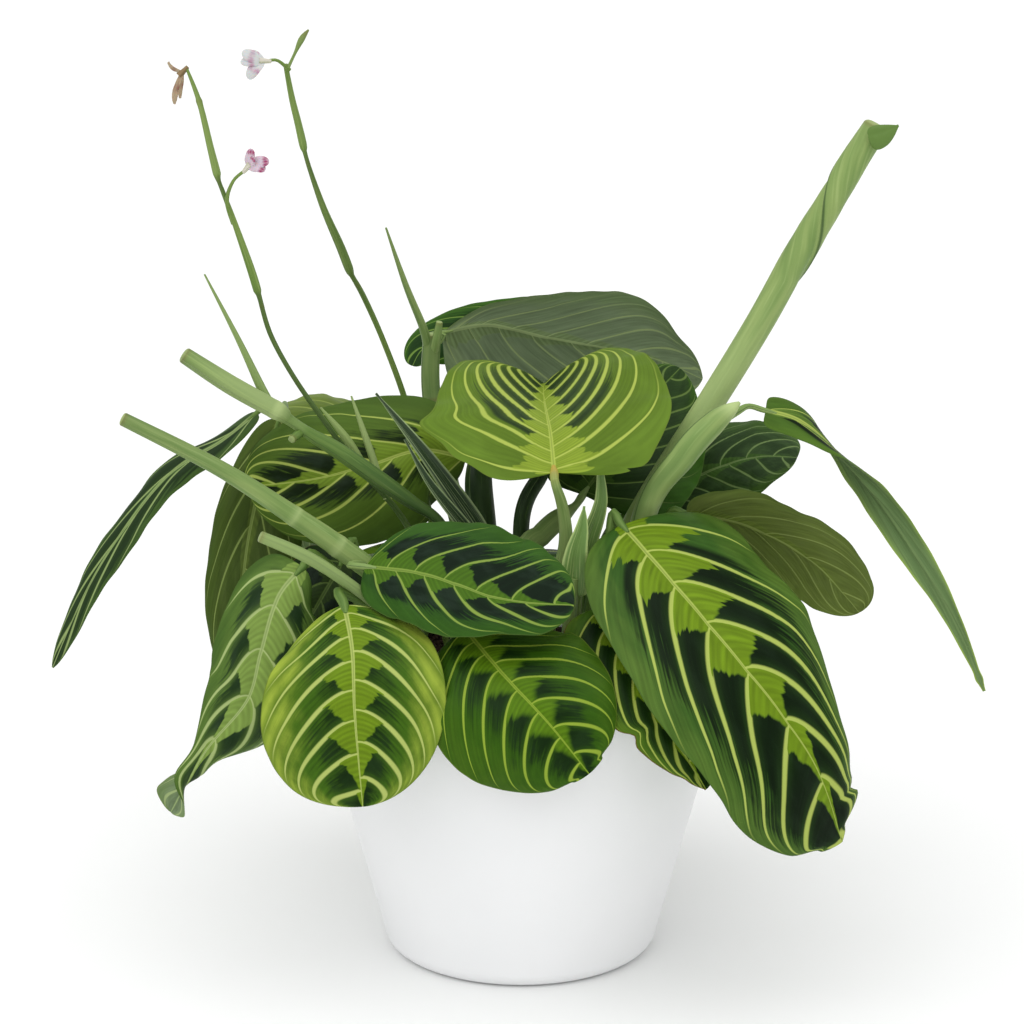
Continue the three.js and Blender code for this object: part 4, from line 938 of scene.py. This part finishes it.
def stalk_path(points, joint=0.0, cut=False, rings=(), shade=0.0, turns=((0, 0), (1, 0))):
    """Fine places along one stalk: x, y, z, radius and shade, and how brown and yellow it is there.

    A point may carry a darkness of its own, below 0 for a paler place. joint is the length of the yellow
    joint at the leaf; rings are (length from the end, width, swelling, brownness, below 0 for a pale
    ring); a cut stalk ends in a brown rim; turns are (length from the end, turn of the sheath's edge)."""
    points = np.asarray([tuple(p) if len(p) == 5 else (*p, shade) for p in points], float)
    _, length = length_shares(points, [0, 1])
    count = max(int(length / STALK_STEP), 8)
    shares, _ = length_shares(points, np.linspace(0, 1, count + 1))
    fine = through_points(points, shares)
    run = np.linspace(0, length, count + 1)
    brown = np.zeros(count + 1)
    shades = fine[:, 4]
    for place, width, swell, dry in rings:
        near = np.exp(-((length - run - place) / width) ** 2)
        fine[:, 3] *= 1 + swell * near
        brown = np.maximum(brown, dry * near)
        shades = shades + min(dry, 0) * near
    yellow = np.clip(1.3 - (length - run) / joint, 0, 1) if joint else np.zeros(count + 1)
    if cut:
        brown = np.maximum(brown, 0.45 * np.exp(-((length - run) / 0.8) ** 2))
        way = unit(fine[-1, :3] - fine[-2, :3])
        ends = [np.append(fine[-1, :3] + way * further * fine[-1, 3], (fine[-1, 3] * share, 0))
                for further, share in CUT_ROUNDING]
        more = len(CUT_ROUNDING)
        shades = np.append(shades, [-0.5] * more)
        fine = np.vstack([fine, ends])
        run = np.append(run, [length] * more)
        brown = np.append(brown, CUT_BROWN)
        yellow = np.append(yellow, [0] * more)
    from_end, turn = zip(*turns)
    return fine, run, brown, yellow, shades, np.interp(length - run, from_end, turn)


def stalk_object(name, paths):
    """Several stalks as lines of points that carry their radius and colours."""
    places = np.vstack([path[0] for path in paths])
    edges = []
    first = 0
    for path in paths:
        edges += [(first + k, first + k + 1) for k in range(len(path[1]) - 1)]
        first += len(path[1])
    mesh = bpy.data.meshes.new(name)
    mesh.from_pydata([tuple(p) for p in places[:, :3] * MM], edges, [])
    columns = {"stalk_radius": places[:, 3] * MM}
    for k, label in enumerate(("stalk_run", "stalk_brown", "stalk_joint", "stalk_shade", "stalk_turn")):
        columns[label] = np.concatenate([path[k + 1] for path in paths])
    columns["stalk_run"] *= MM
    for label, values in columns.items():
        mesh.attributes.new(label, "FLOAT", "POINT").data.foreach_set("value", values.astype(np.float32))
    piece = bpy.data.objects.new(name, mesh)
    bpy.context.scene.collection.objects.link(piece)
    return piece


def stalk_material(name, pale, green, streak, contrast, seam_share=0.0):
    """Stalk skin: two greens in long streaks, brown where it has dried, yellow at the joint."""
    material, tree, shader = new_material(name, 0.45, 0.2)
    ring = add(tree, "ShaderNodeAttribute", attribute_name="ring").outputs["Vector"]
    around = add(tree, "ShaderNodeSeparateXYZ", {0: ring}).outputs
    ring_x, ring_y = Value(around["X"]), Value(around["Y"])
    run = carried(tree, "stalk_run")
    shade = carried(tree, "stalk_shade")
    lines = noise(vector(ring_x, ring_y, run * 9), 5.5)
    broad = noise(vector(ring_x, ring_y, run * 30), 1.1)
    colour = tint(fade(broad, 0.3, 0.7), srgb(*pale), srgb(*green))
    colour = tint(fade(lines, 0.55, 0.72) * contrast, colour, srgb(*streak))
    colour = brighter(colour, lines * 0.3 + 0.85)
    seam = (1 - fade(abs(ring_y), 0.03, 0.16)) * calc("GREATER_THAN", ring_x, 0.0)
    colour = tint(seam * seam_share, colour, srgb(46, 74, 36))
    colour = tint(calc("MAXIMUM", shade, 0.0), colour, srgb(44, 70, 34))
    colour = tint(calc("MAXIMUM", shade * -1, 0.0), colour, srgb(180, 198, 134))
    colour = tint(carried(tree, "stalk_joint") * 0.85, colour, srgb(186, 158, 62))
    colour = tint(carried(tree, "stalk_brown") * 0.8, colour, srgb(112, 86, 50))
    tree.links.new(colour, shader.inputs["Base Color"])
    roughen(shader, lines, 0.5, 0.15 * MM)
    return material


stalk_skin_pale = stalk_material("stalk_pale", (142, 164, 96), (116, 144, 78), (160, 178, 116), 0.3,
                                 seam_share=0.75)
stalk_skin_green = stalk_material("stalk_green_skin", (108, 136, 66), (80, 112, 48), (134, 158, 88), 0.5,
                                  seam_share=0.4)
stalk_skin_dark = stalk_material("stalk_dark_skin", (62, 86, 46), (36, 58, 28), (104, 128, 74), 0.6)


def grow_stalk(name, material, paths, overlap=0.0, ribs=0.012):
    """One node's stalks and stems, grown as one piece; overlap is the step at the sheath's edge."""
    piece = stalk_object(name + "_growth", paths)
    grown(piece, stalk_tree, sides=STALK_SIDES, overlap=overlap, ribs=ribs, material=material)
    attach(piece, "root")
    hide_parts(name)


def from_soil(foot, radius, above):
    """Points of a stalk that stands in the soil."""
    return [(*foot, STALK_FOOT, radius), (*foot, STALK_COLLAR, radius)] + list(above)


def into_leaf(leaf, radius):
    """The last points of a stalk, which runs on into the leaf's midrib."""
    ends = through_points(MIDRIBS[leaf], [0, 0.02])
    way = unit(ends[1] - ends[0])
    return [(*(ends[0] - way * 6), radius), (*(ends[0] - way * 0.6), radius),
            (*(ends[0] + way * LEAF_OVERLAP), radius * 0.45)]


LEAF_STALKS = (
    ("stalk_front_middle", "leaf_front_middle", (-12, -44), 2, [(-16, -50, 122, 2)]),
    ("stalk_right_front", "leaf_right_front", (28, -28), 2.4, [(30, -28, 145, 2.2)]),
    ("stalk_centre", "leaf_centre", (6, -24), 2.4,
     [(12, -27, 140, 2.4), (15, -29, 155, 2.4), (14, -32, 168, 2)]),
    ("stalk_back_right", "leaf_back_right", (-4, 0), 3,
     [(1, 2, 142, 3.8), (7, 6, 149, 3.9), (13, 9.5, 154, 3.6)]),
    ("stalk_right_back", "leaf_right_back", (22, 22), 2, [(30, 28, 140, 2)]),
    ("stalk_right_low", "leaf_right_low", (46, 2), 2, [(50, 1, 142, 2)]),
    ("stalk_left_back", "leaf_left_back", (-18, 22), 2, [(-16, 33, 145, 2)]),
    ("stalk_left_rear", "leaf_left_rear", (-36, 40), 2, [(-38, 50, 138, 2), (-37, 78, 152, 1.8)]),
    ("stalk_left_curled", "leaf_left_curled", (-46, -22), 2, [(-56, -26, 134, 2)]),
    ("stalk_left_low", "leaf_left_low", (-46, -6), 1.8, [(-56, -8, 126, 1.8)]),
    ("stalk_right_under", "leaf_right_under", (30, -40), 1.8, [(27, -38, 128, 1.8)]),
    ("stalk_low_back_left", "leaf_low_back_left", (-24, 54), 1.8, [(-25, 56, 118, 1.8)]),
    ("stalk_low_back_middle", "leaf_low_back_middle", (2, 52), 1.8, [(2, 56, 116, 1.8)]),
    ("stalk_low_back_right", "leaf_low_back_right", (24, 48), 1.8, [(25, 51, 118, 1.8)]),
    ("stalk_arched_back_left", "leaf_arched_back_left", (-46, 28), 1.8, [(-46, 52, 128, 1.8)]),
    ("stalk_arched_back_right", "leaf_arched_back_right", (38, 30), 1.9, [(36, 50, 136, 1.8)]),
)
for name, leaf, foot, radius, above in LEAF_STALKS:
    path = stalk_path(from_soil(foot, radius, above) + into_leaf(leaf, min(radius, 1.5)),
                      joint=9 if leaf == "leaf_centre" else 0)
    grow_stalk(name, stalk_skin_pale if leaf in ("leaf_centre", "leaf_back_right")
               else stalk_skin_green, [path])

# The stalk of the front left leaf, with a cut side stalk that reaches out to the left
grow_stalk("stalk_front_left", stalk_skin_green, [
    stalk_path(from_soil((-32, -36), 2, [(-42, -43, 130, 1.9)]) + into_leaf("leaf_front_left", 1.7)),
    stalk_path([(-46, -45, 135, 1.7), (-55, -51, 145, 1.9), (-70, -56, 157, 2.1), (-86, -58, 165, 1.9)],
               cut=True, shade=-0.35, turns=((0, 3.1), (1, 3.1)))])

# The stout stem of the leaf at the back, with its dark stub, a pointed blade and a pale rolled stub
grow_stalk("stalk_back", stalk_skin_pale, [
    stalk_path(from_soil((-12, 42), 3.6, [(-24, 58, 145, 3.8), (-33, 70, 184, 3.8), (-33, 73, 208, 3.6)]),
               cut=True, rings=((24, 0.8, 0.06, 0.5),), shade=0.35),
    stalk_path([(-33, 73, 204, 1.6), (-29, 74.5, 208, 1.6)] + into_leaf("leaf_back", 1.1)),
    stalk_path([(-34, 72, 203, 2), (-36, 69, 212, 1.6), (-42, 66, 228, 1.2), (-49, 62, 250, 0.4)], shade=0.2),
    stalk_path([(-32, 71, 203, 1.8), (-31, 69, 208, 1.8), (-30, 68, 214, 1.3)], cut=True)],
    overlap=0.12)

# The dark stem that carries the highest leaf at the back
grow_stalk("stalk_back_upper", stalk_skin_dark, [
    stalk_path(from_soil((-8, 14), 4.6, [(-14, 18, 151, 5.4), (-15, 22, 169, 5), (-11, 50, 173, 3),
                                         (0, 86, 166, 2), (20, 110, 172, 1.6), (42, 114, 190, 1.5)])
               + into_leaf("leaf_back_upper", 1.5))], overlap=0.12)

# The stout stem on the right, which ends in a pale sheath from which the hanging leaf grows
grow_stalk("stalk_far_right", stalk_skin_pale, [
    stalk_path(from_soil((36, -8), 4.2, [(42, -13, 160, 4.8), (56, -17, 184, 5.2), (66, -16, 194.5, 4.4),
                                         (71.5, -16, 199, 2.6), (74.5, -16, 201.5, 0.5)]),
               rings=((2, 4, 0, -0.9),), turns=((0, 2.2), (90, 3.6))),
    stalk_path([(66, -15, 193, 1.6), (74, -12, 197.5, 1.4)] + into_leaf("leaf_far_right", 1.1))],
    overlap=0.22)

# The two thick stems that reach out to the left; both were cut off and carry younger leaves
grow_stalk("stem_left_cut", stalk_skin_pale, [
    stalk_path(from_soil((-30, -14), 3.4, [(-42, -22, 132, 3.8), (-50, -30, 145, 4), (-62, -32, 155, 4.1),
                                           (-75, -34, 165, 3.7), (-101, -36, 183, 3, 0.15),
                                           (-133, -36, 200, 2.5, 0.3)]),
               cut=True, rings=((66, 1.2, 0.05, -0.5), (84, 1.2, 0.06, -0.5)), turns=((0, 3.1), (1, 3.1))),
    stalk_path([(-47, -28, 142, 1.6), (-54, -38, 150, 1.6)] + into_leaf("leaf_middle_front", 1.3))],
    overlap=0.14)

grow_stalk("stem_left_upper", stalk_skin_green, [
    stalk_path(from_soil((-12, -8), 1.8, [
        (-20, -6, 140, 1.7, 0.7), (-28, -8, 157, 1.8, 0.7), (-38, -10, 165, 2.6, 0.6),
        (-47, -12, 172, 3.2, 0.45), (-62, -14, 183.5, 3.1, 0.15), (-72, -15.5, 190, 2.4, 0.05),
        (-76, -16, 193, 2.0, -0.15), (-80, -16.5, 196, 2.2, -0.15), (-83, -17, 198.5, 3.4, -0.5),
        (-99, -18, 208, 3.6, -0.45), (-114, -18, 218, 3.1, -0.2)]),
               cut=True, rings=((36, 1, 0.08, -0.4),)),
    stalk_path([(-75, -15, 191, 1.6), (-77, -20, 190.5, 1.6), (-78, -22, 190, 1.5)], cut=True),
    stalk_path([(-84, -15, 198, 2.2), (-87.5, -13, 203, 1.9), (-96.5, -10, 222, 1.1), (-108, -6, 244, 0.35)],
               shade=-0.3),
    stalk_path([(-83, -16, 198, 1.6), (-86, -6, 199, 1.4)] + into_leaf("leaf_far_left", 1)),
    stalk_path([(-78, -15, 194, 1.6), (-82, 4, 193, 1.4)] + into_leaf("leaf_left_hanging", 1))],
    overlap=0.14)

# The tallest stem, a young leaf still rolled up in its sheath, with the end of the roll sticking out
grow_stalk("stem_right_rolled", stalk_skin_pale, [
    stalk_path(from_soil((32, 8), 4.6, [
        (38, 4, 145, 5), (45, 2, 163, 5.2), (66.5, 3, 198, 5.5, -0.45), (83, 4, 226, 5.6, -0.15),
        (97, 6, 252, 5.6), (110.5, 7, 275, 5.3), (121, 8, 292, 4.9)]),
               cut=True, turns=((0, 1.0), (12, 1.6), (21, 2.3), (47, 4.9), (60, 5.8), (200, 5.8)))],
           overlap=0.2)
roll_flap, _ = blade_object("stem_right_flap", {
    "midrib": [(117.5, 1, 290.5), (122.5, 0.5, 291.8), (128, 2, 293.6)], "upper_side": [(0, -0.95, 0.2)] * 3,
    "half_width": 4.6, "sides": (0.6, 1.25), "wave": 0.0, "ruffle": 0.1, "turn_down": (0.6, 0.6),
    "fold_up": (0.2, 0.2), "round_left": (0.3, 0.9), "round_right": (0.3, 0.9),
    "rows": 28, "columns": 14})
grown(roll_flap, leaf_tree, veins=4, arch=0.4, bend=1.0, shift=0.0, relief=0.1 * MM, thickness=0.7 * MM,
      midrib=0.2 * MM, midrib_width=1.0 * MM, upper=stalk_skin_green, underside=stalk_skin_green)
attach(roll_flap, "root")

# The dark stem behind the middle
grow_stalk("stem_middle_dark", stalk_skin_dark, [
    stalk_path(from_soil((2, 14), 2.9, [(0, 14, 151, 3.1), (7, 20, 168, 3), (10, 22, 176, 2.6)]), cut=True)],
    overlap=0.12)


# Sheath blades
# Narrow leaf sheaths that stand upright in the middle: thin green blades, folded along the middle,
# with pale edges. They grew out of the soil on short stalks of their own.
SHEATH = {"round_left": (0.12, 0.8), "round_right": (0.12, 0.8), "turn_down": (0.2, 0.2),
          "fold_up": (0.4, 0.4), "wave": 0.0, "ruffle": 0.05, "rows": 60, "columns": 20}
PALE_SHARE = 0.1


def sheath_material(name, dark, pale):
    """Long pale and green lines that run from the foot of a sheath to its tip, and a pale edge."""
    material, tree, shader = new_material(name, 0.45, 0.4)
    across = carried(tree, "leaf_across")
    lines = noise(vector(carried(tree, "leaf_along") * 0.35, across * 2.6, 0.0), 2.6)
    edge = fade(abs(across), 0.72, 0.95)
    pale_part = calc("MAXIMUM", fade(lines, 0.62 - PALE_SHARE, 0.78 - PALE_SHARE), edge)
    tree.links.new(tint(pale_part, srgb(*dark), srgb(*pale)), shader.inputs["Base Color"])
    roughen(shader, lines, 0.4, 0.15 * MM)
    return material


def grow_sheath(name, shape, material):
    """One sheath blade of its own."""
    piece, _ = blade_object(name, {**SHEATH, **shape})
    grown(piece, leaf_tree, veins=3, arch=0.9, bend=1.0, shift=0.0, relief=0.05 * MM, thickness=0.8 * MM,
          midrib=0.3 * MM, midrib_width=0.8 * MM, upper=material, underside=material)
    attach(piece, "root")


sheath_pale = sheath_material("sheath_pale", (104, 138, 66), (168, 190, 116))
sheath_striped = sheath_material("sheath_striped", (38, 60, 30), (146, 166, 116))
for name, foot, foot_radius, midrib, upper_side, half_width in (
        ("sheath_middle_narrow", (18, -14), 2,
         [(21, -20, 145), (23, -22, 155), (27, -22, 169), (26, -22, 186)], (0.3, -0.9, 0.2), 3.8),
        ("sheath_middle_wide", (14, -42), 2.4,
         [(17, -40, 140), (18, -40, 154), (20, -40, 163), (21, -40, 171)], (0.2, -0.9, 0.2), 5.4)):
    rise = unit(np.subtract(midrib[1], midrib[0]))
    neck = 0.45 * half_width
    top = [(*(np.array(midrib[0]) - rise * 6), neck), (*(np.array(midrib[0]) + rise * 6), neck * 0.8)]
    grow_stalk(name, stalk_skin_pale, [stalk_path(from_soil(foot, foot_radius, top))],
               overlap=0.1)
    grow_sheath(name + "_blade",
                {"midrib": midrib, "upper_side": [upper_side] * 2, "half_width": half_width}, sheath_pale)
grow_stalk("sheath_left_striped", stalk_skin_dark, [
    stalk_path(from_soil((-2, -10), 1.6, [(-9, -4, 138, 1.6), (-14, -3.5, 150, 1.2)]))])
for name, midrib, half_width in (
        ("sheath_left_long", [(-13, -3, 148), (-17, -4, 157), (-33, -7, 181), (-50, -8, 203)], 3.8),
        ("sheath_left_short", [(-13, -4, 146), (-21, -10, 158), (-32, -12, 173), (-40, -13, 188)], 2.6)):
    grow_sheath(name, {"midrib": midrib, "upper_side": [(0, -0.9, 0.4)] * 2,
                                     "half_width": half_width}, sheath_striped)


# Flower stems
# Thin round stems that grew up between the leaves, thicker where a bract is wrapped around them,
# with small pointed blades near the foot and the flowers at the top.
flower_stem_skin = stalk_material("flower_stem_skin", (122, 146, 74), (96, 124, 52), (148, 168, 98), 0.4)
grow_stalk("flower_stem_left", flower_stem_skin, [
    stalk_path(from_soil((-24, 2), 1.3, [
        (-38, 0, 150, 1.2, 0.5), (-57, -2, 176, 1.1, 0.7), (-67, -2, 190, 1.0, 0.65),
        (-78.3, -2, 207, 0.95, 0.6), (-86.3, -1, 222, 0.95, 0.55), (-90, 0, 235, 0.95, 0.5),
        (-90.6, 0, 237, 1.5, 0.1), (-93, 1, 245, 1.5, 0), (-98, 2, 260, 1.1, 0), (-102, 3, 271, 0.85, 0.5),
        (-103.5, 3.5, 275, 0.85, 0.5), (-104, 4, 277, 1.5, -0.1), (-106, 4, 286, 1.3, -0.1),
        (-109.5, 6, 301, 1.0, -0.1), (-114, 8, 313, 0.5, 0)]),
               rings=((13, 0.8, 0.3, 0.3), (40, 0.5, 0.1, 0.5), (86, 0.5, 0.1, 0.5))),
    stalk_path([(-98.5, 2.5, 260, 0.9), (-100.5, 2, 268, 0.8), (-98, 0, 275, 0.6), (-94, -1, 278.6, 0.6)]),
    stalk_path([(-52, -2, 171, 1.2), (-60, -6, 186, 1.6), (-69, -8, 198, 0.35)], shade=-0.3),
    stalk_path([(-47, -1, 164, 1.2), (-53, 1, 182, 1.4), (-59, 2, 200, 0.35)], shade=-0.5)], overlap=0.15)
grow_stalk("flower_stem_middle", flower_stem_skin, [
    stalk_path(from_soil((-24, 28), 1.4, [
        (-32, 44, 140, 1.3, 0.3), (-39.5, 58, 172, 1.2, 0.2), (-43, 60, 188, 1.2, 0.1),
        (-50.5, 57, 210, 1.1, 0.15), (-57, 54, 226, 1.1, 0.4), (-61, 52, 234, 1.0, 0.5),
        (-62, 51.5, 236.5, 1.7, 0.35), (-65, 50, 245, 1.7, 0.35), (-70.5, 47, 259, 1.3, 0.3),
        (-75, 45, 273, 0.9, 0.5), (-76.8, 43.7, 280, 0.9, 0.3),
        (-77.2, 43.5, 282, 1.5, -0.05), (-78.8, 42.5, 290, 1.4, -0.05), (-80.7, 41, 299, 1.2, -0.05),
        (-82.5, 38, 311, 0.9, 0)]),
               rings=((37, 0.5, 0.1, 0.5), (86, 0.5, 0.1, 0.5))),
    stalk_path([(-82, 38, 309, 0.7), (-79, 36.5, 315, 0.6), (-76.5, 35.5, 320, 1.2), (-74, 35, 323.2, 0.35)],
               shade=-0.2, rings=((1, 2.0, 0, 0.5),)),
    stalk_path([(-81, 38, 309, 0.8), (-85, 36, 312.5, 0.6), (-88, 35, 312.6, 0.6)])], overlap=0.15)


# Flowers
# Two small whitish flowers with magenta marks and a withered brown one: each a short tube with thin soft
# petals, four on each fresh flower and three on the withered one, which grew on the ends of the flower stems.
PETAL = {"wave": 0.3, "waves": 1, "ruffle": 0.1, "turn_down": (0.4, 0.4), "rows": 30, "columns": 16,
         "round_left": (0.5, 0.45), "round_right": (0.5, 0.45)}


def petal_material(name, pale, mark, place):
    """Petal skin: pale and soft, with a mottled mark of another colour at a place along it."""
    material, tree, shader = new_material(name, 0.6, 0.25)
    along = carried(tree, "leaf_along")
    spots = noise(vector(along, carried(tree, "leaf_across") * 1.5, 3.0), 3.0)
    share = fade(hump(along - place, 0.22) * (spots + 0.25), 0.35, 0.95)
    tree.links.new(tint(share, srgb(*pale), srgb(*mark)), shader.inputs["Base Color"])
    shader.inputs["Subsurface Weight"].default_value = 0.2
    shader.inputs["Subsurface Scale"].default_value = 0.5 * MM
    return material


lilac_petals = petal_material("petal_lilac", (206, 188, 200), (150, 44, 96), 0.85)
white_petals = petal_material("petal_white", (204, 206, 206), (184, 140, 164), 0.55)
withered_petals = petal_material("petal_withered_skin", (168, 148, 120), (130, 92, 78), 0.5)
tube_skin = stalk_material("flower_tube_skin", (222, 214, 206), (190, 190, 160), (236, 230, 226), 0.4)
tube_brown = stalk_material("withered_tube_skin", (150, 126, 90), (118, 96, 64), (168, 148, 112), 0.4)

# For each flower: where its tube starts and which way it points, then the petals, each with its tip
# measured from the tube's mouth, its upper side and its half width
FLOWERS = (
    ("flower_left", "petal", lilac_petals, tube_skin, (-93.7, -1.1, 279), (0.62, -0.27, 0.72), (
        ((0.5, -1.5, 5.2), (-0.3, -0.9, 0.3), 2), ((6.4, -1, 0.8), (0, -0.9, 0.4), 2.3),
        ((5, -2, -2.2), (0, -0.9, 0.4), 2), ((1.5, -2.4, 2.5), (0, -0.9, 0.4), 1.7))),
    ("flower_middle", "petal", white_petals, tube_skin, (-88.4, 34.9, 312.4), (-1, -0.2, 0.05), (
        ((-5.8, -1, 3.2), (0, -0.9, 0.4), 2.3), ((-3.6, -2, -6.2), (0, -0.9, 0.4), 2.2),
        ((-6.4, -1, -0.5), (0, -0.9, 0.4), 2), ((-2.5, 1.5, 3.5), (0, -0.9, 0.4), 1.6))),
    ("flower_left_withered", "petal_withered", withered_petals, tube_brown, (-114.2, 8, 312),
     (-0.7, 0, -0.7), (
         ((-1.8, -1, -9.6), (-0.5, -0.8, 0), 1.3), ((0.2, -1, -7.6), (0.4, -0.8, 0), 1),
         ((-3.6, -0.5, 4.6), (-0.3, -0.9, 0.3), 0.7))),
)
for name, slot, petal_skin, tube, base, way, petals in FLOWERS:
    base = np.array(base, float)
    way = unit(np.array(way, float))
    throat = base + way * 3
    grow_stalk(name, tube, [
        stalk_path([(*(base - way * 1.2), 0.7), (*base, 0.8), (*(base + way * 1.5), 1.0), (*throat, 1.3)])],
        ribs=0.03)
    for number, (tip, upper_side, half_width) in enumerate(petals):
        end = throat + np.array(tip)
        bend = (throat + end) / 2 + unit(np.array(upper_side, float)) * 0.8
        petal, _ = blade_object("%s_petal_%d" % (name, number + 1), {
            **PETAL, "midrib": [base + way * 1.4, bend, end], "upper_side": [upper_side] * 2,
            "half_width": half_width})
        grown(petal, leaf_tree, veins=3, arch=0.8, bend=1.0, shift=0.0, relief=0.06 * MM,
              thickness=0.35 * MM, midrib=0.1 * MM, midrib_width=0.4 * MM, upper=petal_skin,
              underside=petal_skin)
        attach(petal, "root")
